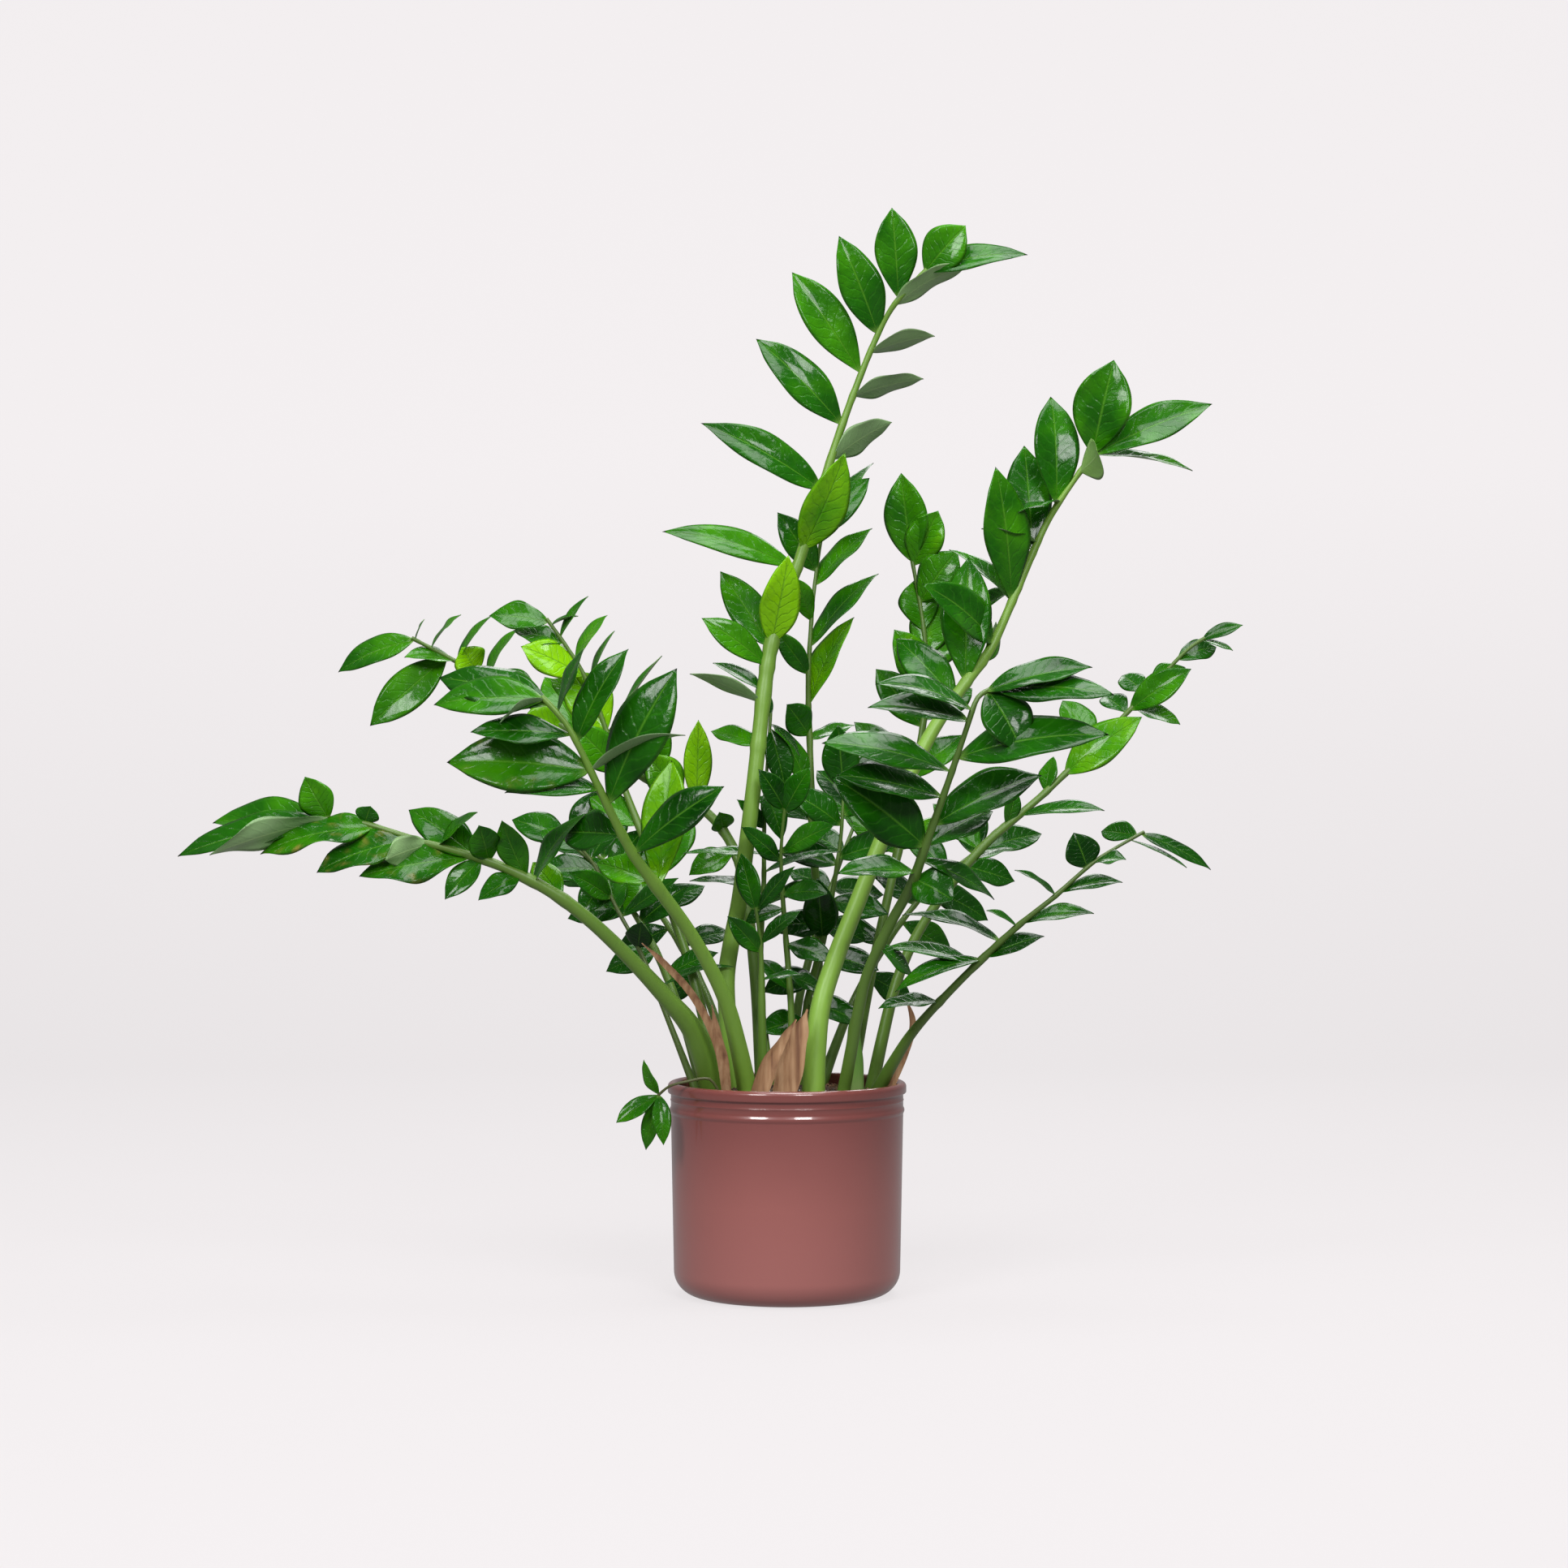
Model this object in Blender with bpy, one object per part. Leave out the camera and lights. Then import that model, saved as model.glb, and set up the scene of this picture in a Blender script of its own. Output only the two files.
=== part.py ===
"""Potted ZZ plant: a glazed pot, its potting mix, and a clump of pinnate fronds.

Origin: centre of the pot's flat base. +X is right, +Y is away from the front, +Z is up.
Everything is in metres; the planting plan below is in centimetres.
"""

import math

import bpy
from mathutils import Quaternion, Vector
from mathutils.bvhtree import BVHTree

CM = 0.01
MM = 0.001
GAP = 0.4 * MM                  # clearance kept between neighbouring pieces

# ---- pot -----------------------------------------------------------------------------------
RIM_RADIUS = 11.75 * CM
POT_HEIGHT = 20.9 * CM
BODY_TOP_RADIUS = 11.5 * CM
BODY_FOOT_RADIUS = 11.15 * CM
FOOT_CORNER = 2.4 * CM          # radius of the rounded corner at the base
RIM_BAND = 1.65 * CM            # height of the thick band at the rim
BEAD_DROP = 1.3 * CM            # bead below the band
WALL = 0.65 * CM
FLOOR = 0.9 * CM
POT_SIDES = 48

# ---- potting mix -----------------------------------------------------------------------------
SOIL_EDGE = 19.6 * CM
SOIL_CROWN = 20.5 * CM
STUB_DEPTH = 3.5 * CM           # how deep a cane stands in the mix

# ---- plant -----------------------------------------------------------------------------------
CANE_SIDES = 6
CANE_STEP = 5.0 * CM            # distance between the rings of a cane
LEAF_SPACING = 0.4 * CM         # steps at which a leaflet can sit on its cane
RIB_THICKNESS = 1.5 * MM        # a leaflet's thickness at its midrib
FOLD = 0.22                     # how far a leaflet's halves rise, as a share of their width
BOW = 0.035                     # how far a leaflet arches, as a share of its length
LEAF_STATIONS = (0.2, 0.5, 0.8)

# Places on the plant are sighted from a point in front of the pot onto an upright board that
# stands on the pot's axis: across the board, up it, and depth behind it (-: in front of it).
EYE = Vector((-0.3 * CM, -330 * CM, 50.2 * CM))

# Each cane: route (across, up, depth), thickness at soil, middle and end (diameters, cm), and
# its leaflets: base across and up, tip across and up, breadth, turn, lean (degrees).
# turn 0 shows the upper face to the front; lean brings the tip forward.
FRONDS = {
    "frond_tall_centre": dict(
        route=[(-5.2, 20, 1), (-6, 30.7, 1), (-4.7, 38.7, 2), (-3.2, 50.7, 3), (-1.6, 63.7, 5),
               (1.2, 72.2, 6), (5.3, 85.2, 7), (8.8, 94.2, 7), (11, 98, 6), (13.8, 100.9, 5.5)],
        thick=(1.9, 1.5, 0.5),
        leaves=[(0.8, 71.7, -11.9, 75.4, 3.6, 35, 12), (2.2, 79.7, -8.1, 86.0, 4.0, 22, 8),
                (5.2, 85.7, -2.8, 94.2, 4.3, 15, 5), (7.4, 90.8, 0.5, 100.5, 4.5, 12, 5),
                (8.8, 94.6, 5.1, 104.0, 4.4, 8, 8), (11.2, 97.8, 10.3, 106.8, 4.3, 5, 8),
                (13.5, 100.7, 17.5, 105.0, 4.6, -10, 15), (13.8, 100.8, 23.4, 102.7, 3.2, -35, 10),
                (10.7, 97.1, 17.6, 101.7, 3.8, -118, 10), (8.3, 92.6, 14.6, 94.7, 3.8, -112, -15),
                (6.2, 88.5, 13.4, 90.6, 3.8, -115, -12), (4.0, 82.2, 10.2, 86.2, 4.2, -125, -12),
                (1.3, 73.2, 5.7, 82.2, 4.6, 20, 25), (1.6, 74.2, 8.2, 80.6, 4.0, -20, -15),
                (-1.5, 64.2, 0.2, 72.2, 4.1, 10, 25), (-1.8, 63.6, -6.6, 71.4, 4.0, 15, -12),
                (-2.1, 61.8, -8.1, 66.6, 3.2, 25, 15), (-2.4, 59.2, -7.3, 62.3, 2.8, 60, -15),
                (-2.6, 58.2, -9.4, 61.4, 2.8, 120, 15), (-3.2, 54.2, -7.6, 55.5, 2.6, 40, -30)]),
    "frond_slim_centre": dict(
        route=[(2.8, 20, 5), (3.1, 35.7, 8.5), (2.6, 43.7, 10.5), (2.2, 55.7, 12), (2.1, 61, 12),
               (2.6, 68.7, 13), (3.4, 74.7, 14)],
        thick=(1.2, 0.8, 0.35),
        leaves=[(3.3, 74.2, 8.0, 82.6, 3.6, -60, -15), (2.8, 71.2, -0.8, 76.9, 3.4, 10, 10),
                (2.7, 69.7, 8.3, 75.7, 3.4, -50, -10), (2.3, 66.2, 0.8, 70.4, 2.4, 20, 25),
                (2.2, 63.7, 8.6, 71.6, 3.4, -50, -10), (1.9, 61.2, -1.0, 65.2, 2.4, 10, 20),
                (2.0, 57.7, 6.3, 66.9, 3.6, -45, -5), (2.1, 55.0, 0.0, 58.0, 3.4, 20, 30),
                (2.1, 54.5, 6.6, 56.3, 2.8, -60, -15), (2.2, 49.0, -1.2, 56.2, 2.8, 35, 0),
                (2.3, 48.7, 6.6, 46.6, 2.6, -60, 0), (2.4, 46.5, -3.5, 49.0, 2.4, 50, -20)]),
    "frond_right_tall": dict(
        route=[(2.6, 20, -4), (3.4, 28.7, -3), (7.0, 38.7, 0), (11, 48.7, 3), (14.5, 55.7, 5.5),
               (18, 60.7, 7), (20.5, 64.4, 9), (25, 74.7, 10.5), (27.5, 79, 10.5), (30.3, 82.9, 10.5)],
        thick=(2.3, 1.5, 0.55),
        leaves=[(30.0, 83.0, 32.0, 91.8, 6.0, -10, 10), (30.3, 82.9, 41.9, 87.7, 4.4, -30, 0),
                (30.2, 82.7, 40.1, 81.2, 3.2, -68, -5), (27.0, 77.4, 26.3, 88.7, 4.8, 10, -5),
                (28.8, 81.0, 30.5, 82.6, 4.2, 150, 70), (24.4, 72.8, 23.6, 83.9, 4.8, 5, -15),
                (22.0, 68.4, 20.8, 81.0, 5.0, 20, 15), (28.0, 77.4, 22.5, 77.2, 3.4, 82, 35),
                (25.3, 73.6, 19.0, 75.2, 3.4, 84, 25), (22.0, 68.4, 16.2, 73.6, 3.2, 60, -10),
                (20.3, 64.2, 13.8, 69.7, 4.8, 35, 35), (18.0, 59.7, 18.0, 72.7, 5.2, -10, -10),
                (19.3, 62.0, 21.2, 66.4, 2.6, 50, -40), (16.5, 58.5, 10.8, 65.2, 4.2, 10, -30),
                (22.5, 69.5, 16.6, 66.2, 2.8, 60, -30)]),
    "frond_front_right": dict(
        route=[(5.6, 20, -5), (8, 31.7, -9), (12, 39.7, -13), (13.5, 43.7, -15), (16, 50.7, -17),
               (17.7, 55.7, -18), (18.8, 58.7, -18), (20.3, 59.6, -17)],
        thick=(1.3, 1.0, 0.45),
        leaves=[(19.5, 59.3, 29.8, 62.4, 3.8, -50, 5), (20.3, 59.5, 31.9, 59.3, 4.8, -52, 15),
                (20.0, 59.2, 23.2, 53.3, 5.0, -20, 20), (17.2, 52.5, 31.3, 55.2, 6.0, -48, 15),
                (14.3, 46.0, 25.0, 51.7, 5.0, -40, -5), (13.5, 44.2, 20.4, 48.0, 4.4, -45, -20),
                (18.2, 57.5, 9.0, 60.7, 4.2, 62, 12), (17.9, 56.5, 8.0, 58.0, 4.4, 55, 5),
                (16.1, 51.5, 3.6, 54.7, 5.0, 52, 8), (15.4, 49.0, 5.0, 51.4, 4.8, 52, 15),
                (13.3, 44.0, 4.8, 51.0, 5.6, 20, 15), (12.5, 41.6, 5.0, 41.7, 3.6, 55, 20),
                (12.3, 41.0, 16.3, 38.8, 4.6, -25, 25), (13.2, 42.6, 21.2, 39.2, 3.0, -55, -25),
                (9.0, 34.4, 12.5, 31.2, 2.8, -60, -20)]),
    "frond_mid_right": dict(
        route=[(6.2, 20, 5.5), (8.4, 32, 9), (10.8, 43, 14), (13, 53.7, 17), (13.8, 60, 18),
               (13.4, 66, 19), (12.3, 72.4, 20)],
        thick=(1.2, 0.9, 0.4),
        leaves=[(12.3, 72.4, 11.2, 80.8, 4.6, -10, 5), (12.5, 71.7, 14.8, 77.0, 4.2, -10, 15),
                (13.2, 68.2, 16.6, 73.2, 4.6, -15, 10), (13.5, 65.4, 12.6, 70.4, 4.4, 10, -10),
                (13.6, 60.0, 10.7, 65.4, 4.4, 20, 10), (13.7, 61.6, 17.0, 66.0, 3.8, -20, -10),
                (13.7, 62.8, 14.6, 68.6, 4.4, -5, -20), (13.4, 55.6, 8.8, 61.6, 4.2, 20, -10),
                (13.4, 56.4, 18.4, 60.0, 3.8, -30, -20), (12.2, 50.0, 6.8, 56.8, 3.6, 30, -25),
                (12.4, 51.0, 17.5, 55.4, 3.8, -40, -10), (10.8, 43.2, 5.6, 47.4, 3.4, 40, -10),
                (10.9, 43.8, 16.8, 47.0, 3.6, -50, -10)]),
    "frond_right_arch": dict(
        route=[(8.3, 20, 2.5), (10.5, 29.7, 4), (13, 35.7, 6), (16.5, 40.7, 8), (20, 44.7, 10),
               (25.5, 49.4, 12), (33.5, 57.2, 13), (39, 63.0, 13), (41.2, 64.6, 13)],
        thick=(1.4, 0.9, 0.35),
        leaves=[(41.0, 64.5, 44.9, 66.0, 1.8, -40, 0), (41.0, 64.5, 43.9, 63.4, 1.4, -60, 10),
                (38.5, 62.5, 42.6, 64.0, 2.8, -35, -20), (35.8, 59.8, 39.5, 62.0, 3.0, -30, -20),
                (33.8, 57.5, 39.6, 61.5, 3.4, -25, 15), (34.2, 57.8, 38.7, 56.2, 3.0, -55, 10),
                (35.5, 59.2, 33.2, 61.2, 2.8, 20, -45), (33.5, 57.1, 31.4, 59.0, 2.8, 30, -50),
                (27.5, 51.0, 34.9, 56.8, 4.4, -25, 5), (30.5, 54.0, 27.4, 58.6, 3.6, 20, -30),
                (25.3, 49.4, 26.3, 53.0, 2.2, -40, -20), (22.8, 46.8, 31.0, 48.0, 2.8, -62, 15),
                (21.7, 46.0, 22.5, 49.8, 2.0, 30, 10), (19.0, 43.8, 14.6, 48.6, 3.4, 30, -30),
                (18.0, 42.6, 22.6, 44.2, 2.6, -70, -30)]),
    "frond_right_low": dict(
        route=[(8.9, 20, -2), (12, 25.2, -5.5), (15.5, 29.2, -9), (19.5, 33.2, -10.5), (23, 36.4, -12),
               (26.5, 39.2, -13), (30.5, 42.7, -13), (35.2, 45.5, -12)],
        thick=(1.5, 0.7, 0.3),
        leaves=[(35.0, 45.4, 41.9, 42.2, 2.2, -50, 5), (34.0, 44.8, 39.3, 42.2, 1.6, -75, 15),
                (34.5, 45.1, 31.2, 45.6, 2.4, 30, -50), (29.6, 42.0, 28.3, 45.4, 3.5, 10, 5),
                (30.0, 42.4, 33.2, 43.0, 2.4, -65, 25), (26.7, 39.4, 32.9, 41.0, 2.4, -60, 5),
                (26.5, 39.2, 22.6, 42.0, 1.6, 68, 10), (23.0, 36.4, 30.0, 38.0, 2.6, -60, 10),
                (22.8, 36.2, 19.8, 38.0, 1.6, 70, 10), (19.5, 33.4, 25.2, 35.4, 2.8, -55, 10),
                (19.2, 33.0, 10.5, 30.3, 3.2, 64, 10), (18.6, 32.4, 9.6, 34.4, 3.2, 66, -12),
                (21.0, 34.7, 11.6, 37.8, 3.0, 66, -20), (15.0, 28.8, 9.0, 28.6, 2.8, 66, 15)]),
    "frond_left_low": dict(
        route=[(-7.0, 20, -2), (-9, 25.4, -4), (-11.5, 28.7, -6), (-17, 34.5, -9), (-22.5, 39.1, -11),
               (-29, 42.4, -12), (-36, 44.5, -12), (-42, 46.4, -11), (-45.5, 46.8, -10)],
        thick=(3.1, 1.3, 0.5),
        leaves=[(-45.5, 46.8, -47.5, 50.9, 3.5, -10, 5), (-45.4, 46.8, -57.0, 46.4, 4.6, 50, -10),
                (-45.3, 46.7, -59.9, 43.3, 4.2, 45, 5), (-45.0, 46.8, -55.9, 43.5, 3.6, 130, 30),
                (-40.5, 46.0, -51.8, 43.9, 4.6, 48, 8), (-36.5, 44.8, -46.2, 41.8, 4.6, 45, 10),
                (-31.0, 43.2, -41.9, 41.4, 4.6, 42, 12), (-41.5, 46.2, -41.0, 48.0, 2.4, 0, 20),
                (-30.5, 43.3, -37.6, 48.0, 4.0, 25, -15), (-35.0, 44.4, -39.3, 42.8, 3.2, 150, 35),
                (-34.3, 44.2, -30.6, 47.6, 3.0, -70, 10), (-29.5, 42.6, -30.0, 46.0, 3.2, 20, 40),
                (-30.3, 42.6, -33.5, 39.1, 2.6, 15, 25), (-26.3, 41.2, -30.2, 38.9, 2.6, 30, 30),
                (-25.5, 41.2, -28.0, 46.6, 3.0, -15, 15), (-25.0, 40.8, -20.4, 47.6, 3.4, -60, 10),
                (-22.0, 39.0, -25.2, 42.6, 3.0, 20, -20)]),
    "frond_left_mid": dict(
        route=[(-3.9, 20, -4.5), (-6, 28.7, -7.5), (-10, 36.2, -11), (-15, 43.0, -15), (-18.5, 49.7, -18),
               (-21.5, 55.7, -19), (-24.2, 58.8, -19)],
        thick=(2.0, 1.3, 0.5),
        leaves=[(-24.0, 58.6, -34.9, 58.6, 4.8, 38, 0), (-23.2, 58.0, -34.7, 61.0, 5.2, 38, -15),
                (-23.8, 58.4, -28.2, 56.4, 2.2, 100, 35), (-22.8, 57.2, -20.0, 63.6, 3.0, -65, 5),
                (-21.3, 55.0, -31.0, 55.3, 3.8, 45, 12), (-20.8, 54.2, -15.9, 63.6, 3.8, -35, 5),
                (-19.3, 51.6, -33.4, 52.8, 6.4, 22, 5), (-18.5, 49.8, -27.6, 49.6, 3.8, 50, 15),
                (-19.0, 51.6, -10.3, 55.8, 3.4, -108, 10), (-17.2, 48.2, -11.1, 61.6, 6.0, -25, 8),
                (-14.8, 43.6, -6.2, 50.0, 4.4, -35, 12), (-16.0, 45.2, -22.4, 45.4, 4.4, 30, -30),
                (-12.6, 40.2, -11.6, 52.6, 4.4, -5, -28), (-12.8, 40.6, -19.0, 42.4, 3.6, 35, -25)]),
    "frond_left_back_upper": dict(
        route=[(-2.4, 20, 7), (-3.2, 32, 11), (-4.8, 42.6, 15.5), (-8.3, 47.7, 17), (-13.5, 50.5, 19),
               (-20, 54.4, 20.5), (-27, 59.0, 20.5), (-32.5, 62.2, 20), (-37, 64.6, 19)],
        thick=(1.5, 1.0, 0.4),
        leaves=[(-36.9, 64.5, -44.4, 61.5, 3.6, 35, 0), (-33.5, 62.6, -40.9, 55.9, 4.4, 10, 10),
                (-33.0, 62.4, -37.4, 62.9, 3.2, 60, 25), (-37.0, 64.5, -35.9, 66.5, 1.8, -80, 0),
                (-35.2, 63.7, -32.4, 67.1, 2.4, -75, 10), (-32.7, 62.2, -29.4, 66.9, 3.0, -70, 5),
                (-29.7, 60.6, -26.8, 65.7, 3.0, -65, 5), (-30.5, 61.1, -31.9, 63.6, 3.8, 20, 25),
                (-25.0, 57.8, -28.9, 61.6, 4.4, 25, -10), (-22.0, 55.9, -26.0, 56.2, 4.6, 30, 30),
                (-20.2, 54.6, -24.2, 61.2, 4.0, 15, -25), (-14.0, 50.7, -12.2, 57.0, 3.4, 10, 10),
                (-8.8, 48.0, -8.7, 56.5, 3.0, 5, 5), (-10.5, 48.9, -13.8, 53.0, 4.2, 10, 15),
                (-6.5, 45.6, -6.6, 47.4, 2.6, 20, 50), (-5.2, 43.6, -9.6, 41.5, 3.0, 30, 20)]),
    "frond_left_back_lower": dict(
        route=[(-6.6, 20, 4.5), (-9.5, 32, 8), (-13, 42, 10.5), (-16, 49.7, 12.5), (-18, 56, 13),
               (-20.3, 61.5, 13), (-23.7, 66.5, 13)],
        thick=(1.3, 0.9, 0.35),
        leaves=[(-23.7, 66.5, -29.3, 67.0, 3.6, 35, 5), (-22.0, 64.2, -27.0, 65.6, 3.2, 50, -5),
                (-23.2, 65.9, -20.6, 66.8, 2.0, -80, 0), (-22.2, 64.8, -19.9, 68.9, 1.8, -60, 0),
                (-20.7, 62.4, -18.0, 67.0, 2.8, -60, 5), (-19.4, 60.0, -17.3, 65.4, 2.6, -75, 5),
                (-20.0, 60.8, -25.9, 63.9, 4.2, 30, 15), (-18.4, 57.2, -23.4, 61.0, 3.4, 35, -20),
                (-17.8, 55.4, -21.3, 61.4, 5.0, 10, -15), (-17.6, 54.8, -12.4, 62.9, 2.6, -80, -5),
                (-16.5, 51.2, -21.0, 56.0, 4.0, 15, 15), (-16.2, 50.4, -15.6, 57.8, 4.0, -10, -20),
                (-14.6, 46.2, -19.6, 49.0, 3.6, 30, -15), (-12.6, 41.0, -9.4, 47.0, 3.4, -25, -15),
                (-13.0, 42.0, -16.0, 37.6, 3.2, 20, 15)]),
    "frond_thin_left": dict(
        route=[(-9.0, 20, 1), (-12.2, 28.2, 2.5), (-14.5, 33.7, 4), (-16.5, 37.4, 6), (-19, 42.2, 7.5),
               (-20.5, 44, 7.5)],
        thick=(0.9, 0.5, 0.3),
        leaves=[(-20.4, 43.9, -24.5, 45.6, 2.6, 30, -20), (-16.8, 37.6, -18.2, 42.0, 3.4, 10, -30),
                (-17.5, 38.8, -21.4, 41.6, 2.8, 30, 25), (-16.3, 37.0, -10.7, 41.0, 2.8, -50, 10),
                (-18.3, 40.4, -20.2, 37.4, 3.0, 15, 20), (-14.7, 33.8, -14.3, 36.6, 2.8, -10, 35),
                (-12.9, 30.0, -5.6, 33.0, 1.8, -75, 15), (-19.5, 42.8, -16.6, 46.8, 2.8, -30, -20)]),
    "frond_centre_thin": dict(
        route=[(-1.4, 20, 2.5), (-2.6, 30, 3.5), (-2.3, 40, 4.8), (-2.2, 48, 6), (-1.6, 57.2, 7)],
        thick=(0.8, 0.5, 0.3),
        leaves=[(-1.7, 56.2, 1.4, 53.2, 2.0, -70, 0), (-1.8, 55.6, -0.2, 50.0, 3.0, -20, 5),
                (-2.1, 49.5, -0.4, 44.8, 2.6, -20, 20), (-2.2, 46.0, -4.7, 48.7, 1.8, 30, 25),
                (-2.3, 43.4, -10.2, 43.4, 2.4, 72, 5), (-2.3, 41.4, 5.2, 43.6, 2.4, -72, 5),
                (-2.3, 40.0, -9.6, 40.8, 2.4, 70, 0), (-2.4, 38.0, 3.2, 40.6, 2.4, -60, 10),
                (-1.7, 57.0, -3.0, 60.0, 1.6, 20, -25)]),
    "frond_centre_front": dict(
        route=[(-2.4, 20, -1.6), (-2.5, 28, -2), (-2.6, 34, -2), (-3.1, 38, -2.4)],
        thick=(1.6, 0.8, 0.3),
        leaves=[(-2.6, 33.6, -5.8, 37.2, 2.2, 10, 15), (-3.1, 38.0, -4.6, 43.4, 2.4, -10, -10),
                (-3.0, 37.6, 0.6, 42.2, 2.4, -50, 10), (-2.6, 34.5, 1.2, 37.8, 2.2, -50, -10),
                (-2.6, 31.0, 1.4, 31.6, 1.8, -70, 15)]),
    "frond_centre_short": dict(
        route=[(0.4, 20, 0), (0.4, 28, 0.6), (-0.2, 36, 1.6), (-0.6, 43, 2.2), (-0.2, 48, 1.8)],
        thick=(1.0, 0.6, 0.3),
        leaves=[(-0.3, 47.6, -2.6, 51.6, 2.6, 20, 20), (-0.3, 47.2, 2.2, 51.8, 2.8, -20, 20),
                (-0.6, 43.4, 4.6, 46.2, 3.0, -40, 25), (-0.6, 42.8, -4.4, 46.0, 2.6, 40, 30),
                (-0.4, 39.4, 4.0, 39.6, 3.0, -45, 20), (-0.3, 37.8, -4.2, 36.6, 2.6, 50, 10),
                (-0.1, 34.6, 4.4, 33.2, 3.0, -40, 20), (0.2, 31.4, 4.0, 29.6, 2.6, -55, -10),
                (0.3, 30.0, -2.6, 33.0, 2.2, 40, -10)]),
    "frond_centre_back": dict(
        route=[(1.4, 20, 3.2), (1.9, 28, 4.2), (3.8, 36, 5.6), (5.2, 44, 6.6), (5.6, 50, 7.4)],
        thick=(1.0, 0.7, 0.3),
        leaves=[(5.6, 50.0, 5.0, 56.0, 3.8, -5, 10), (5.4, 47.0, 11.0, 51.0, 3.8, -35, 10),
                (5.4, 46.0, 0.4, 49.6, 3.8, 35, 10), (5.0, 43.0, 11.0, 44.5, 3.8, -45, 15),
                (4.8, 42.2, -1.0, 43.8, 3.8, 45, -10), (4.3, 38.5, 10.0, 37.6, 3.8, -45, 10),
                (4.0, 36.5, -2.0, 36.4, 3.8, 45, 10), (3.3, 33.6, 9.0, 32.0, 3.8, -45, 15),
                (2.8, 31.2, -2.4, 30.0, 3.6, 40, 10), (2.2, 28.8, 7.4, 26.6, 3.4, -45, 15),
                (1.9, 26.8, -2.6, 26.0, 3.2, 50, 10), (3.5, 34.8, 3.0, 40.8, 3.6, 0, 25)]),
    "frond_left_inner": dict(
        route=[(-8.3, 20, 3.6), (-10.6, 28, 5.4), (-13.6, 35, 8.6), (-17.4, 40.6, 11),
               (-21.6, 44.6, 12.5)],
        thick=(1.2, 0.8, 0.35),
        leaves=[(-21.6, 44.6, -27.2, 47.0, 3.8, 35, -10), (-20.6, 43.8, -19.0, 49.6, 3.8, 0, -15),
                (-18.6, 42.0, -24.6, 41.4, 3.8, 40, 5), (-17.4, 40.9, -14.2, 45.8, 3.6, -35, -10),
                (-15.8, 38.6, -21.6, 37.0, 3.6, 40, 5), (-14.4, 36.7, -9.8, 40.4, 3.6, -45, -10),
                (-12.8, 34.0, -17.8, 31.8, 3.4, 35, 10), (-11.6, 31.6, -6.8, 33.6, 3.2, -50, -10)]),
    "frond_back_centre": dict(
        route=[(0.2, 20, 7.5), (1.2, 29, 12), (3.4, 37, 17), (5.6, 43.5, 22), (7.4, 48, 26)],
        thick=(1.2, 0.8, 0.35),
        leaves=[(7.4, 48.0, 9.2, 54.0, 4.0, -10, -35), (7.0, 47.2, 3.0, 51.8, 3.8, 30, -30),
                (6.8, 46.8, 12.4, 49.4, 3.8, -40, -30), (5.6, 43.5, 1.0, 46.0, 3.8, 45, -25),
                (5.6, 43.3, 10.8, 44.4, 3.8, -50, -20), (4.4, 40.0, 0.2, 41.6, 3.6, 50, -25),
                (4.4, 39.8, 9.6, 39.2, 3.8, -50, -20), (3.2, 36.4, 7.8, 34.8, 3.6, -40, 0),
                (3.0, 35.6, -0.8, 36.8, 3.2, 50, -30)]),
    "frond_back_left": dict(
        route=[(-5.2, 20, 7.5), (-7.4, 28, 12), (-10.6, 34.5, 17), (-14.4, 39.6, 22), (-19, 43.4, 27)],
        thick=(1.3, 0.8, 0.35),
        leaves=[(-19.0, 43.4, -25.4, 45.6, 3.8, 40, -25), (-18.2, 42.8, -17.0, 48.6, 3.8, 0, -30),
                (-16.8, 41.7, -22.4, 40.4, 3.8, 40, -15), (-15.8, 40.8, -11.4, 44.8, 3.8, -35, -25),
                (-14.2, 39.4, -20.6, 36.6, 3.6, 35, -10), (-13.0, 38.0, -8.2, 40.4, 3.6, -45, -25),
                (-11.6, 36.0, -17.0, 33.4, 3.4, 35, -10), (-10.4, 34.2, -5.4, 35.8, 3.4, -50, -20),
                (-8.8, 31.4, -12.6, 28.6, 3.2, 30, -10)]),
    "frond_back_right": dict(
        route=[(3.2, 20, 8), (6.2, 28, 13), (9.8, 34.5, 18), (14, 39.8, 23), (19, 43.8, 28)],
        thick=(1.3, 0.8, 0.35),
        leaves=[(19.0, 43.8, 25.4, 45.4, 3.8, -40, -25), (18.4, 43.4, 18.0, 48.8, 3.8, 0, -30),
                (16.8, 42.4, 22.6, 40.6, 3.8, -40, -15), (15.6, 41.4, 11.6, 46.0, 3.8, 35, -25),
                (13.8, 39.8, 20.0, 36.8, 3.6, -35, -10), (12.6, 38.4, 8.2, 42.2, 3.6, 45, -25),
                (11.2, 36.4, 16.6, 33.2, 3.4, -35, -10), (9.6, 34.2, 5.0, 36.8, 3.4, 50, -20),
                (8.0, 31.4, 12.4, 28.8, 3.2, -30, -10)]),
    "rim_sprig": dict(
        route=[(-6.4, 19.2, -6.4), (-7.6, 21.1, -6.8), (-9.7, 20.9, -7), (-11.6, 20.4, -6.6),
               (-12.8, 19.4, -6)],
        thick=(0.3, 0.28, 0.24),
        leaves=[(-12.8, 19.6, -14.3, 22.9, 1.5, -40, 10), (-12.8, 19.4, -16.8, 16.9, 2.0, 30, 10),
                (-12.7, 19.4, -14.1, 14.2, 1.9, 25, 5), (-12.7, 19.4, -12.1, 14.8, 1.9, -10, 20)]),
}

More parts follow.
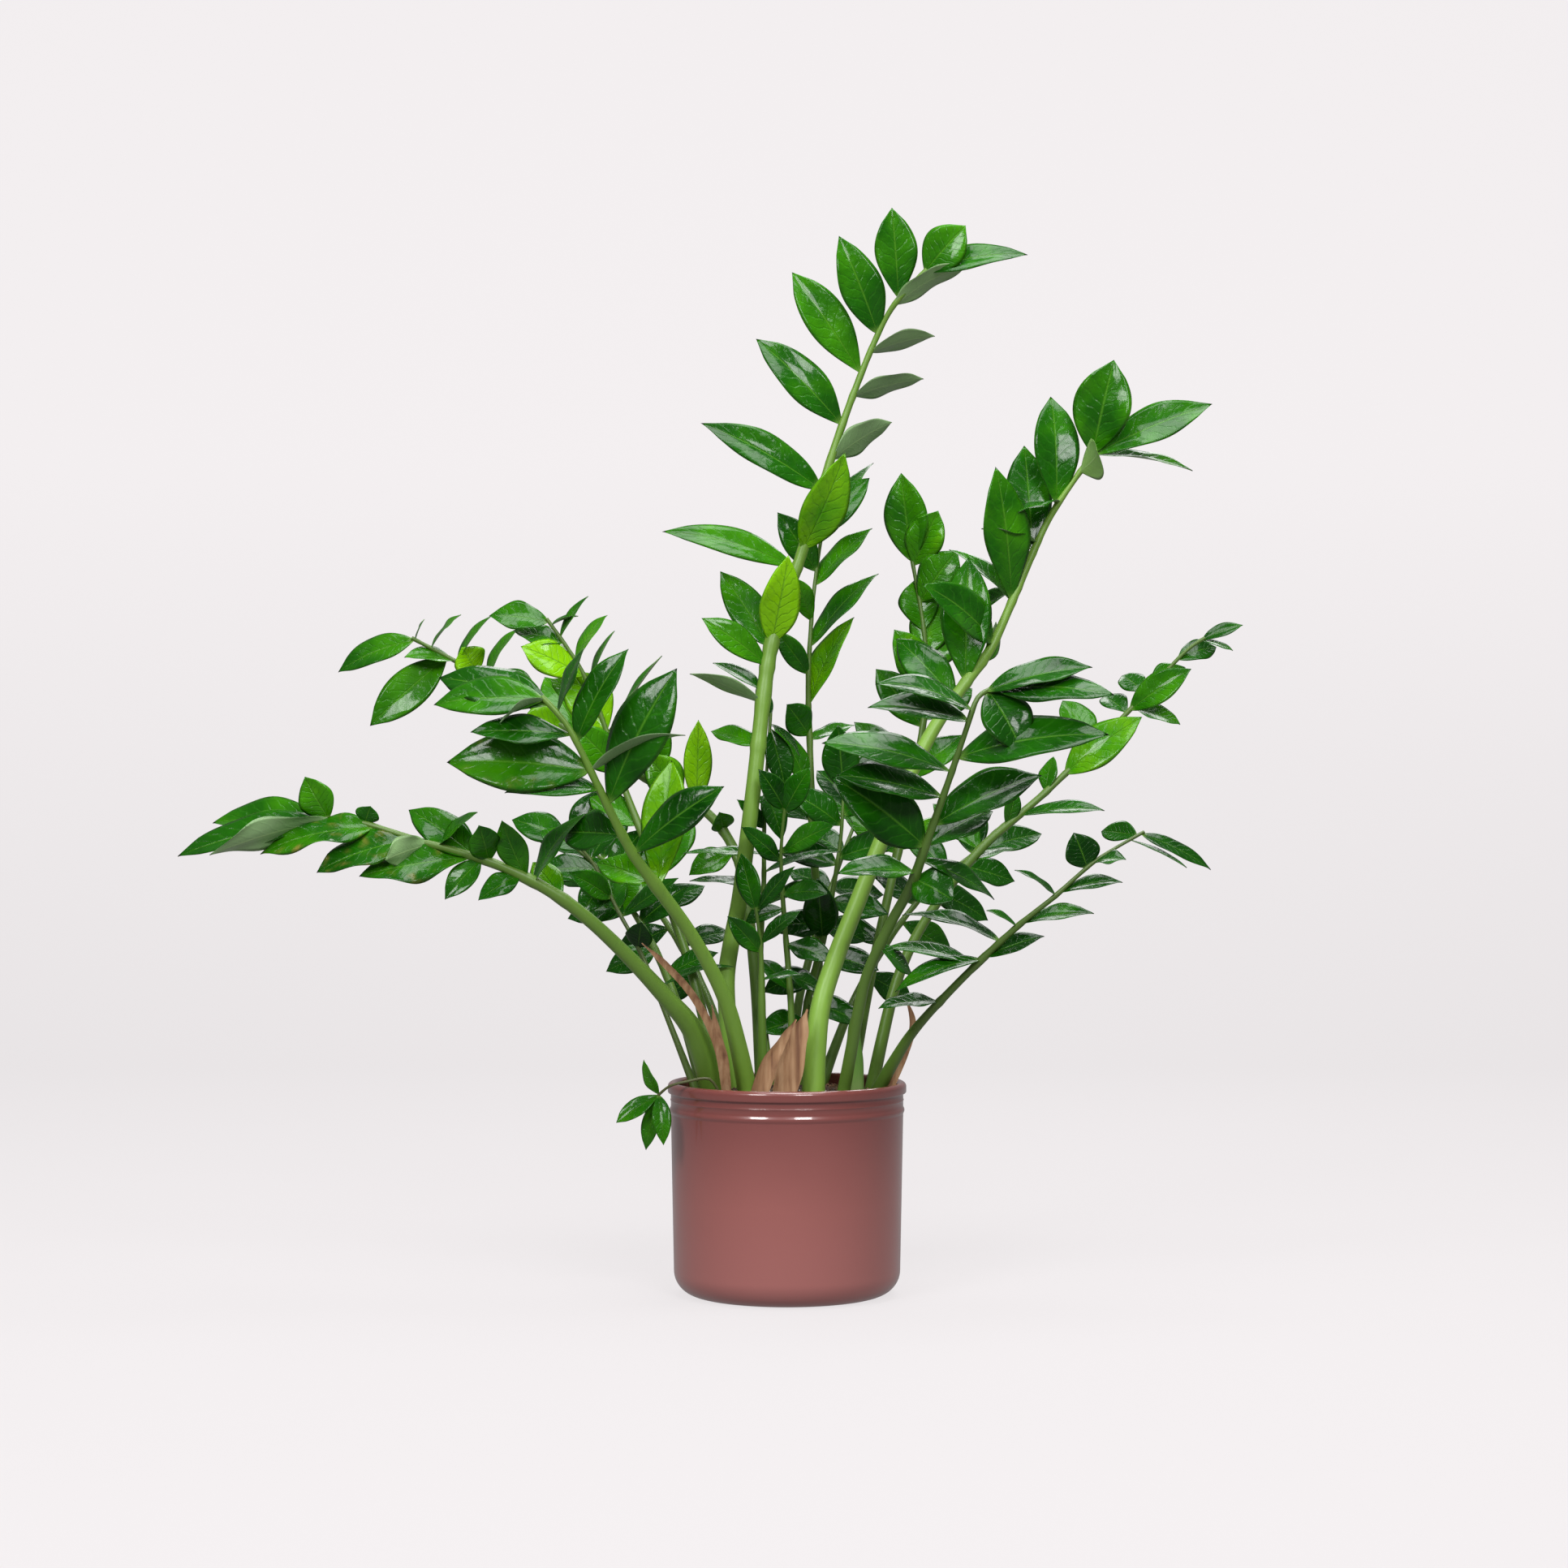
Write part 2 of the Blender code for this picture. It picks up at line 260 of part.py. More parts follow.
# Dry sheaths and the new shoot: route (across, up, depth) with the width at each point (cm).
BLADES = {
    "dry_sheath_front": [(-0.4, 19.2, -6.4, 2.4), (0.3, 22.0, -6.6, 2.8), (1.2, 25.4, -6.5, 1.9),
                         (2.0, 28.0, -6.2, 0.2)],
    "dry_sheath_inner": [(-2.9, 19.2, -5.6, 1.8), (-1.7, 22.4, -5.6, 2.0), (-0.2, 25.0, -5.3, 1.2),
                         (0.9, 27.0, -5.0, 0.2)],
    "dry_sheath_long": [(-5.9, 19.2, -4.6, 0.8), (-6.9, 24.6, -5.5, 0.9), (-9.2, 29.2, -7.0, 0.8),
                        (-12.0, 32.4, -9.0, 0.7), (-14.3, 34.5, -10.0, 0.1)],
    "dry_sheath_left": [(-5.9, 19.2, -6.6, 1.0), (-6.3, 22.8, -7.8, 1.2), (-6.9, 25.6, -8.8, 0.9),
                        (-7.4, 28.4, -9.6, 0.1)],
    "dry_sheath_right": [(9.8, 19.2, 0.3, 0.7), (11.6, 23.6, 0.2, 0.8), (12.4, 26.6, 0.2, 0.7),
                         (11.6, 29.4, -0.2, 0.1)],
    "new_shoot": [(6.9, 19.2, -1.6, 1.6), (6.6, 22.6, -1.6, 2.0), (6.6, 25.8, -1.6, 1.3),
                  (6.7, 28.5, -1.6, 0.1)],
}
BLADE_THICKNESS = 2.0 * MM
SHOOT_THICKNESS = 11 * MM


def clear_scene():
    for thing in list(bpy.context.scene.objects):
        bpy.data.objects.remove(thing, do_unlink=True)


def finish(name, colour, roughness):
    """A Principled material of one colour."""
    material = bpy.data.materials.new(name)
    material.use_nodes = True
    shader = material.node_tree.nodes["Principled BSDF"]
    shader.inputs["Base Color"].default_value = (*colour, 1.0)
    shader.inputs["Roughness"].default_value = roughness
    shader.inputs["Metallic"].default_value = 0.0
    return material


def add_object(name, vertices, faces, material=None):
    mesh = bpy.data.meshes.new(name)
    mesh.from_pydata([tuple(v) for v in vertices], [], faces)
    if material:
        mesh.materials.append(material)
    piece = bpy.data.objects.new(name, mesh)
    bpy.context.scene.collection.objects.link(piece)
    return piece


def set_aside(piece):
    """Mark a helper solid, so that it isn't taken for a part."""
    piece.hide_render = True
    piece.hide_viewport = False
    piece.display_type = "WIRE"


def turned(name, profile, sides, material):
    """A solid of revolution about Z from an outline that starts and ends on the axis."""
    vertices = [Vector((0, 0, profile[0][1])), Vector((0, 0, profile[-1][1]))]
    rings = profile[1:-1]
    for radius, height in rings:
        for k in range(sides):
            angle = math.tau * k / sides
            vertices.append(Vector((radius * math.cos(angle), radius * math.sin(angle), height)))
    faces = []
    for k in range(sides):
        following = (k + 1) % sides
        faces.append((0, 2 + following, 2 + k))
        last = 2 + (len(rings) - 1) * sides
        faces.append((1, last + k, last + following))
        for ring in range(len(rings) - 1):
            low = 2 + ring * sides
            high = low + sides
            faces.append((low + k, low + following, high + following, high + k))
    piece = add_object(name, vertices, faces, material)
    piece.data.shade_smooth()
    piece.data.set_sharp_from_angle(angle=math.radians(40))
    return piece


def arc(centre, radius, start, end, steps):
    """Points along an arc in the (radius, height) plane, angles in degrees."""
    points = []
    for k in range(steps + 1):
        angle = math.radians(start + (end - start) * k / steps)
        points.append((centre[0] + radius * math.cos(angle), centre[1] + radius * math.sin(angle)))
    return points


def pot_profile():
    """Outline from the middle of the base, up the outside, over the lip and down to the floor."""
    lip = (RIM_RADIUS - (BODY_TOP_RADIUS - WALL)) / 2
    lip_centre = (RIM_RADIUS - lip, POT_HEIGHT - lip)
    band_foot = POT_HEIGHT - RIM_BAND
    bead = band_foot - BEAD_DROP
    inner_top = RIM_RADIUS - 2 * lip
    inner_foot = BODY_FOOT_RADIUS - WALL
    corner = FOOT_CORNER - WALL
    outline = [(0, 0)]
    outline += arc((BODY_FOOT_RADIUS - FOOT_CORNER, FOOT_CORNER), FOOT_CORNER, -90, 0, 5)
    outline += [(BODY_TOP_RADIUS - 0.5 * MM, bead - 1.2 * MM), (BODY_TOP_RADIUS + 0.7 * MM, bead)]
    outline += [(BODY_TOP_RADIUS - 0.3 * MM, bead + 1.2 * MM), (BODY_TOP_RADIUS - 0.3 * MM, band_foot)]
    outline += [(RIM_RADIUS, band_foot + 1.8 * MM)]
    outline += arc(lip_centre, lip, 0, 180, 6)
    outline += [(inner_top, SOIL_EDGE)]
    outline += arc((inner_foot - corner, FLOOR + corner), corner, 0, -90, 3)
    return outline + [(0, FLOOR)]


def soil_profile():
    """The mix fills the pot, mounded a little in the middle."""
    lip = (RIM_RADIUS - (BODY_TOP_RADIUS - WALL)) / 2
    top = RIM_RADIUS - 2 * lip - 2 * GAP
    foot = BODY_FOOT_RADIUS - WALL - 2 * GAP
    corner = FOOT_CORNER - WALL
    outline = [(0, FLOOR + GAP)]
    outline += arc((foot - corner, FLOOR + GAP + corner), corner, -90, 0, 3)
    outline += [(top - GAP, SOIL_EDGE - 1 * MM), (top * 0.9, SOIL_EDGE + 1 * MM)]
    outline += [(top * 0.5, SOIL_CROWN - 1 * MM)]
    return outline + [(0, SOIL_CROWN)]


def sighted(across, up, depth):
    """The place in space of a point sighted on the board (centimetres in, metres out)."""
    reach = (depth * CM - EYE.y) / -EYE.y
    x = EYE.x + (across * CM - EYE.x) * reach
    z = EYE.z + (up * CM - EYE.z) * reach
    return Vector((x, depth * CM, z))


def on_board(point):
    """Across and up on the board, in centimetres, of a point in space."""
    reach = (point.y - EYE.y) / -EYE.y
    return Vector(((point.x - EYE.x) / reach + EYE.x, (point.z - EYE.z) / reach + EYE.z)) / CM


def smooth_route(points, step):
    """Points a step apart on a smooth curve through the given ones (Catmull-Rom)."""
    ends = [2 * points[0] - points[1], *points, 2 * points[-1] - points[-2]]
    dense = []
    for a, b, c, d in zip(ends, ends[1:], ends[2:], ends[3:]):
        pieces = max(2, round((c - b).length / step))
        for k in range(pieces):
            t = k / pieces
            dense.append(0.5 * (2 * b + (c - a) * t + (2 * a - 5 * b + 4 * c - d) * t * t
                                + (3 * b - a - 3 * c + d) * t ** 3))
    return dense + [points[-1].copy()]


def cane_route(route, step):
    """A cane's centre line: straight up out of the mix, then along its own curve."""
    points = [sighted(*place) for place in route]
    foot = points[0].copy()
    foot.z = SOIL_EDGE - STUB_DEPTH
    return [foot] + smooth_route(points, step)


def cane_radius(share, thick):
    """Radius at a share of the cane's length: a swollen foot, then a long taper."""
    foot, middle, end = thick
    if share < 0.5:
        ease = (1 - share * 2) ** 2
        return (middle + (foot - middle) * ease) * CM / 2
    ease = 1 - (2 - share * 2) ** 1.6
    return (middle + (end - middle) * ease) * CM / 2


def tube(points, radii, sides):
    """Vertices and faces of a closed tube; its rings are carried along without twisting."""
    vertices = []
    faces = []
    side = Vector((1, 0, 0))
    for k, point in enumerate(points):
        ahead = points[min(k + 1, len(points) - 1)] - points[max(k - 1, 0)]
        ahead.normalize()
        side = (side - ahead * side.dot(ahead)).normalized()
        other = ahead.cross(side)
        for n in range(sides):
            angle = math.tau * n / sides
            vertices.append(point + (side * math.cos(angle) + other * math.sin(angle)) * radii[k])
    for k in range(len(points) - 1):
        for n in range(sides):
            following = (n + 1) % sides
            low = k * sides
            faces.append((low + n, low + following, low + sides + following, low + sides + n))
    faces.append(tuple(reversed(range(sides))))
    faces.append(tuple(range((len(points) - 1) * sides, len(points) * sides)))
    return vertices, faces


def cane_tube(route, thick, extra=0.0):
    """The cane as a tube; extra makes it stouter and its foot deeper, to cut its socket."""
    points = cane_route(route, CANE_STEP)
    points[0].z -= extra
    radii = [cane_radius(k / (len(points) - 1), thick) + extra for k in range(len(points))]
    return tube(points, radii, CANE_SIDES)


def leaf_width(share):
    """Half breadth, from 0 to 1: a lens with a wedge base and a pointed tip."""
    return math.sin(math.pi * share ** 1.05) ** 0.85


def leaf_frame(base, tip_board, turn, lean, length_share):
    """Length, direction and upper-face normal of a leaflet from its tip on the board."""
    start = on_board(base)
    span = Vector(tip_board) - start
    reach = (base.y - EYE.y) / -EYE.y
    flat = span.length * CM * reach
    angle = math.radians(lean)
    along = Vector((span.x * math.cos(angle), 0, span.y * math.cos(angle))) / span.length
    along.y = -math.sin(angle)
    front = Vector((0, -1, 0))
    normal = (front - along * front.dot(along)).normalized()
    normal.rotate(Quaternion(along, math.radians(turn)))
    return flat / math.cos(angle) * length_share, along, normal


def leaf_solid(base, length, along, normal, breadth, extra=0.0):
    """A thin folded lens: one point at the base, three sections of four, one at the tip."""
    side = normal.cross(along)
    vertices = [base]
    for share in LEAF_STATIONS:
        half = breadth * CM / 2 * leaf_width(share) + extra
        rib = RIB_THICKNESS / 2 + extra
        middle = base + along * length * share + normal * BOW * length * 4 * share * (1 - share)
        rise = normal * half * FOLD
        vertices += [middle - side * half + rise, middle - normal * rib,
                     middle + side * half + rise, middle + normal * rib]
    vertices.append(base + along * (length + extra))
    faces = []
    for n in range(4):
        following = (n + 1) % 4
        faces.append((0, 1 + following, 1 + n))
        for ring in range(len(LEAF_STATIONS) - 1):
            low = 1 + ring * 4
            faces.append((low + n, low + following, low + 4 + following))
            faces.append((low + n, low + 4 + following, low + 4 + n))
        last = 1 + (len(LEAF_STATIONS) - 1) * 4
        faces.append((last + n, last + following, len(vertices) - 1))
    return vertices, faces


def blade_solid(stations, thickness, extra=0.0):
    """A long thin solid with a set width at each point of its route, such as a dry sheath."""
    points = [sighted(*place[:3]) for place in stations]
    widths = [place[3] * CM / 2 + extra for place in stations]
    foot = points[0].copy()
    foot.z -= 1.0 * CM + extra
    points.insert(0, foot)
    widths.insert(0, widths[0])
    vertices = []
    faces = []
    for k, point in enumerate(points):
        ahead = (points[min(k + 1, len(points) - 1)] - points[max(k - 1, 0)]).normalized()
        front = Vector((0, -1, 0))
        normal = (front - ahead * front.dot(ahead)).normalized()
        side = normal.cross(ahead)
        half_thick = min(thickness / 2, widths[k] * 0.8) + extra
        vertices += [point - side * widths[k], point - normal * half_thick,
                     point + side * widths[k], point + normal * half_thick]
    for k in range(len(points) - 1):
        for n in range(4):
            following = (n + 1) % 4
            low = k * 4
            faces.append((low + n, low + following, low + 4 + following))
            faces.append((low + n, low + 4 + following, low + 4 + n))
    faces += [(3, 2, 1, 0), tuple(range(len(vertices) - 4, len(vertices)))]
    return vertices, faces


def tree_of(solid):
    return BVHTree.FromPolygons([tuple(v) for v in solid[0]], solid[1], epsilon=0.0)


def tries():
    """Changes of turn, lean and length, smallest first, for a leaflet that meets another piece."""
    for length_share in (1.0, 0.9, 0.8, 0.65):
        for size in (0, 7, 14, 21, 28, 36, 44):
            for lean_sign in (1, -1):
                for turn_sign in (0, 1, -1):
                    yield turn_sign * size, lean_sign * size, length_share


def places_on_cane(route):
    """Closely spaced points on the axis of the cane's tube, short of its two ends."""
    rings = cane_route(route, CANE_STEP)[1:]
    line = []
    for low, high in zip(rings, rings[1:]):
        pieces = max(1, math.ceil((high - low).length / LEAF_SPACING))
        line += [low.lerp(high, k / pieces) for k in range(pieces)]
    return line[1:]


def placed_leaf(name, leaf, route, obstacles):
    """A leaflet that clears every other frond: (base, length, along, normal, breadth)."""
    base_across, base_up, tip_across, tip_up, breadth, turn, lean = leaf
    target = Vector((base_across, base_up))
    base = min(places_on_cane(route), key=lambda point: (on_board(point) - target).length)
    for more_turn, more_lean, length_share in tries():
        length, along, normal = leaf_frame(base, (tip_across, tip_up), turn + more_turn,
                                           lean + more_lean, length_share)
        stout = tree_of(leaf_solid(base, length, along, normal, breadth, GAP))
        if not any(owner != name and stout.overlap(tree) for owner, tree in obstacles):
            return base, length, along, normal, breadth
    return None


def grow(obstacles):
    """Every frond's leaflets in turn, each clear of what is already there."""
    plan = {}
    for name, frond in FRONDS.items():
        plan[name] = []
        for leaf in frond["leaves"]:
            placed = placed_leaf(name, leaf, frond["route"], obstacles)
            if placed is None:
                print("no room for a leaflet of", name, leaf)
                continue
            obstacles.append((name, tree_of(leaf_solid(*placed))))
            plan[name].append(placed)
    return plan


def joined(solids):
    """One list of vertices and faces from several."""
    vertices = []
    faces = []
    for points, polygons in solids:
        first = len(vertices)
        vertices += points
        faces += [tuple(first + index for index in polygon) for polygon in polygons]
    return vertices, faces


def combine(piece, other, operation):
    modifier = piece.modifiers.new("Combine", "BOOLEAN")
    modifier.operation = operation
    modifier.solver = "EXACT"
    modifier.use_self = True
    modifier.object = other


def main():
    clear_scene()
    glaze = finish("glaze", (0.26, 0.095, 0.085), 0.25)
    mix = finish("potting_mix", (0.035, 0.02, 0.012), 0.95)
    leaf_green = finish("leaf_green", (0.02, 0.13, 0.012), 0.3)
    dry = finish("dry_sheath", (0.3, 0.15, 0.07), 0.8)
    shoot_green = finish("shoot_green", (0.08, 0.25, 0.03), 0.4)

    pot = turned("pot", pot_profile(), POT_SIDES, glaze)
    soil = turned("potting_soil", soil_profile(), POT_SIDES // 2, mix)

    canes = {name: cane_tube(frond["route"], frond["thick"]) for name, frond in FRONDS.items()}
    blades = {}
    for name, stations in BLADES.items():
        thickness = SHOOT_THICKNESS if name == "new_shoot" else BLADE_THICKNESS
        blades[name] = (blade_solid(stations, thickness), blade_solid(stations, thickness, GAP))

    obstacles = [(name, tree_of(solid)) for name, solid in canes.items()]
    obstacles += [(name, tree_of(pair[0])) for name, pair in blades.items()]
    for piece in (pot, soil):
        solid = ([v.co.copy() for v in piece.data.vertices],
                 [tuple(face.vertices) for face in piece.data.polygons])
        obstacles.append((piece.name, tree_of(solid)))

    plan = grow(obstacles)
    for name, placed in plan.items():
        cane = add_object(name, *canes[name], leaf_green)
        leaves = add_object(name + "_leaves", *joined([leaf_solid(*leaf) for leaf in placed]))
        set_aside(leaves)
        combine(cane, leaves, "UNION")

    for name, pair in blades.items():
        add_object(name, *pair[0], shoot_green if name == "new_shoot" else dry)

    sockets = [cane_tube(frond["route"], frond["thick"], GAP) for frond in FRONDS.values()]
    sockets += [pair[1] for pair in blades.values()]
    cutter = add_object("sockets", *joined(sockets))
    set_aside(cutter)
    combine(soil, cutter, "DIFFERENCE")


main()
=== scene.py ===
# %% [markdown]
# # A potted ZZ plant
#
# The object is a floor plant in a glazed pot. A ZZ plant has no branches: each "cane" is the
# stalk of one very large leaf, and what look like leaves along it are its leaflets. The frame
# already holds every piece at its real size as a plain solid. This script dresses those solids:
# it grows each frond again with curved, veined leaflets, turns the pot with a soft lip, and
# heaps the potting mix. Nothing is moved or resized, so the frame is loaded first.

import math

import bmesh
import bpy
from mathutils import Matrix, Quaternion, Vector, noise
from mathutils.bvhtree import BVHTree


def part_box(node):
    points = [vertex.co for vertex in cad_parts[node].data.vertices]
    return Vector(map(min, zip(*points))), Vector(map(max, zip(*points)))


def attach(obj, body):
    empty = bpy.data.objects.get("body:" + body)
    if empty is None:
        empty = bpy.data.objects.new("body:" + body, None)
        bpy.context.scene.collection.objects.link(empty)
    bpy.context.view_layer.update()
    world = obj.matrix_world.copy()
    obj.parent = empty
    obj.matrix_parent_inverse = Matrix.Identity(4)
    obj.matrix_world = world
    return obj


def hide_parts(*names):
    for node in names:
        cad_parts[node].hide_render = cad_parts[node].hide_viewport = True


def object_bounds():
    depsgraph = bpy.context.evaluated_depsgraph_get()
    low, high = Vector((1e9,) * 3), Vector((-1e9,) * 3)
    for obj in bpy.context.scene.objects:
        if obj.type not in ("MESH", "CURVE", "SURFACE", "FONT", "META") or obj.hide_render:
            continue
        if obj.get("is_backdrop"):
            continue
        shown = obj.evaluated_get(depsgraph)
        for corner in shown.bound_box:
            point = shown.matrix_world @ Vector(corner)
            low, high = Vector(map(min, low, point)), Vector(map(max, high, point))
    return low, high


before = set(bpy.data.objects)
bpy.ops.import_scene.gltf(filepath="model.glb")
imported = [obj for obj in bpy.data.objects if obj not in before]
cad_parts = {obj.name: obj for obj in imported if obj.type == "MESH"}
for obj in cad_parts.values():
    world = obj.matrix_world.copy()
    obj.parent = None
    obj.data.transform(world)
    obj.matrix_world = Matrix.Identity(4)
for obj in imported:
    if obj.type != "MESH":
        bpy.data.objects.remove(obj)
cad_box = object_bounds()
BODY = "root"
CM = 0.01
MM = 0.001

# %% [markdown]
# ## Where the plant is looked at from
#
# A camera 3.3 m away with a long lens keeps the pot's sides straight and its rim a thin ellipse.
# It could also stand close with a wide lens, but then the front fronds would swell. The same
# point is used below to plan the fronds, so it is a named value.

# %% Camera
EYE = Vector((-0.3 * CM, -330 * CM, 50.2 * CM))
SEEN_WIDTH = 154.56 * CM        # how much of the upright board through the pot is in view
SENSOR = 36.0


def add_camera():
    data = bpy.data.cameras.new("camera")
    data.sensor_width = SENSOR
    data.lens = SENSOR * -EYE.y / SEEN_WIDTH
    camera = bpy.data.objects.new("camera", data)
    camera.location = EYE
    camera.rotation_euler = (math.radians(90), 0, 0)
    bpy.context.scene.collection.objects.link(camera)
    bpy.context.scene.camera = camera
    return data.lens


print("camera lens:", round(add_camera(), 1), "mm")

# %% [markdown]
# ## Small tools
#
# The studio, the leaflets and the finishes are all built from nodes. Writing every link by hand
# hides the idea, so short helpers do it: `place` adds any kind of node and gives it values or
# links by name, `calc` and `arrows` are its short forms for arithmetic, and `inlet` and `outlet`
# name what a tree takes and gives. `mesh_piece` is the only way here from points to an object.

# %% Helpers


def place(tree, kind, values=None, **settings):
    """Add a node; values maps an input's name or number to a number or to another socket."""
    made = tree.nodes.new(kind)
    for name, value in settings.items():
        setattr(made, name, value)
    for key, value in (values or {}).items():
        if isinstance(value, bpy.types.NodeSocket):
            tree.links.new(value, made.inputs[key])
        else:
            made.inputs[key].default_value = value
    return made


def calc(tree, operation, *values):
    """One step of arithmetic, such as MULTIPLY, and its result."""
    return place(tree, "ShaderNodeMath", dict(enumerate(values)), operation=operation).outputs[0]


def arrows(tree, operation, *values):
    """One step of vector arithmetic and its result."""
    return place(tree, "ShaderNodeVectorMath", dict(enumerate(values)), operation=operation).outputs[0]


def inlet(tree, name, kind, default=None):
    """A named input on a tree or group."""
    socket = tree.interface.new_socket(name=name, in_out="INPUT", socket_type=kind)
    if default is not None:
        socket.default_value = default
    return socket.identifier


def outlet(tree, name, kind):
    """A named output on a tree or group."""
    tree.interface.new_socket(name=name, in_out="OUTPUT", socket_type=kind)


def mesh_piece(name, vertices, faces, material):
    """A smooth mesh object of one material, linked to the scene."""
    mesh = bpy.data.meshes.new(name)
    mesh.from_pydata([tuple(v) for v in vertices], [], faces)
    mesh.materials.append(material)
    mesh.shade_smooth()
    piece = bpy.data.objects.new(name, mesh)
    bpy.context.scene.collection.objects.link(piece)
    return piece


print("helpers ready")

# %% [markdown]
# ## The studio
#
# A pale sheet runs along the floor and curves up behind the plant, as in a product studio, so
# that no edge shows. A large soft light above gives the even look. Two soft boxes stand high on
# either side of the lens: they make the crisp sparks on the waxy leaflets and the pair of short
# bright strokes on the ring below the pot's lip. A weaker one behind keeps the back of the plant
# readable. The sheet and the air look bright but give the plant little light, or their
# reflection would turn the dark leaflets milky.

# %% Sheet and lights
SHEET_FRONT = -4.5
SHEET_BACK = 2.6
SHEET_CURVE = 1.2               # radius of the bend between floor and wall
SHEET_TOP = 4.5
SHEET_HALF_WIDTH = 6.0
BEND_STEPS = 24
PAPER = (0.1, 0.096, 0.097)
PAPER_LIGHT = (0.95, 0.915, 0.925)
WALL_LOOKS = 0.893              # the sheet's own light where it faces the lens, on the wall
FLOOR_LOOKS = 0.79              # and on the floor, which the lights reach better
PAPER_GIVES = 0.22              # and what it gives the plant from below and behind
AIR = (1.0, 0.968, 0.975)
AIR_LOOKS = 0.91
AIR_GIVES = 0.2
LIGHTS = {                      # where each hangs, where it points, its size and its watts
    "soft_overhead": ((0.2, -0.3, 2.5), (0, 0, 0.5), (1.6, 1.2), 46),
    "soft_behind": ((0.4, 2.3, 2.4), (0, 0, 0.6), (2.0, 1.0), 30),
    "box_left": ((-1.45, -2.4, 2.2), (0, 0, 0.5), (0.9, 0.9), 52),
    "box_right": ((0.85, -2.7, 2.2), (0, 0, 0.5), (0.9, 0.9), 52),
}


def seen_or_given(tree, looks, gives):
    """One strength for rays that come from the lens and another for all the rest."""
    seen = place(tree, "ShaderNodeLightPath").outputs["Is Camera Ray"]
    return calc(tree, "MULTIPLY_ADD", seen, calc(tree, "SUBTRACT", looks, gives), gives)


def paper_material():
    material = bpy.data.materials.new("studio_paper")
    material.use_nodes = True
    tree = material.node_tree
    shader = tree.nodes["Principled BSDF"]
    shader.inputs["Base Color"].default_value = (*PAPER, 1)
    shader.inputs["Roughness"].default_value = 1.0
    shader.inputs["Specular IOR Level"].default_value = 0.0
    shader.inputs["Emission Color"].default_value = (*PAPER_LIGHT, 1)
    facing = place(tree, "ShaderNodeNewGeometry").outputs["Normal"]
    level = calc(tree, "ABSOLUTE", place(tree, "ShaderNodeSeparateXYZ", {0: facing}).outputs["Z"])
    looks = calc(tree, "MULTIPLY_ADD", level, FLOOR_LOOKS - WALL_LOOKS, WALL_LOOKS)
    tree.links.new(seen_or_given(tree, looks, PAPER_GIVES), shader.inputs["Emission Strength"])
    return material


def add_sheet():
    line = [(SHEET_FRONT, 0.0)]
    for k in range(BEND_STEPS + 1):
        angle = math.radians(90 * k / BEND_STEPS)
        line.append((SHEET_BACK + SHEET_CURVE * math.sin(angle), SHEET_CURVE * (1 - math.cos(angle))))
    line.append((SHEET_BACK + SHEET_CURVE, SHEET_TOP))
    vertices = [(x, y, z) for y, z in line for x in (-SHEET_HALF_WIDTH, SHEET_HALF_WIDTH)]
    faces = [(2 * k, 2 * k + 1, 2 * k + 3, 2 * k + 2) for k in range(len(line) - 1)]
    mesh_piece("studio_sheet", vertices, faces, paper_material())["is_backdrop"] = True


def add_light(name, where, aim, size, watts):
    data = bpy.data.lights.new(name, "AREA")
    data.shape = "RECTANGLE"
    data.size, data.size_y = size
    data.energy = watts
    light = bpy.data.objects.new(name, data)
    light.location = where
    light.rotation_euler = (Vector(aim) - Vector(where)).to_track_quat("-Z", "Y").to_euler()
    bpy.context.scene.collection.objects.link(light)


def add_world():
    """Air that looks as bright as the sheet but lights the plant only dimly."""
    world = bpy.data.worlds.new("studio_air")
    world.use_nodes = True
    tree = world.node_tree
    background = tree.nodes["Background"]
    background.inputs["Color"].default_value = (*AIR, 1)
    tree.links.new(seen_or_given(tree, AIR_LOOKS, AIR_GIVES), background.inputs["Strength"])
    bpy.context.scene.world = world


add_sheet()
add_world()
for name, (where, aim, size, watts) in LIGHTS.items():
    add_light(name, where, aim, size, watts)
bpy.context.scene.view_settings.view_transform = "Standard"
print("studio: one sheet,", len(LIGHTS), "lights")

# %% [markdown]
# ## Finishes: what a leaflet's skin does
#
# A ZZ leaflet is thick and waxy. Its main vein is a pale line, side veins leave it at a slant,
# and the skin between them is slightly raised, which breaks every reflection into sparks. The
# pattern has to follow the leaflet, so each one carries two coordinates: u from base to tip and
# v from edge to edge. The upper and the under skin both need the veins, so they are one group.

# %% The vein group
SIDE_VEINS = 9.0                # pairs along a leaflet
VEIN_SLANT = 1.7
RIB_WIDTH = 0.075               # widths are shares of half the leaflet's breadth
VEIN_WIDTH = 0.16
MARGIN_WIDTH = 0.1


def smooth_line(tree, distance, width):
    """1 on a line and 0 beyond its width."""
    return place(tree, "ShaderNodeMapRange", {"Value": distance, "From Min": 0.0, "From Max": width,
                                              "To Min": 1.0, "To Max": 0.0},
                 interpolation_type="SMOOTHSTEP").outputs["Result"]


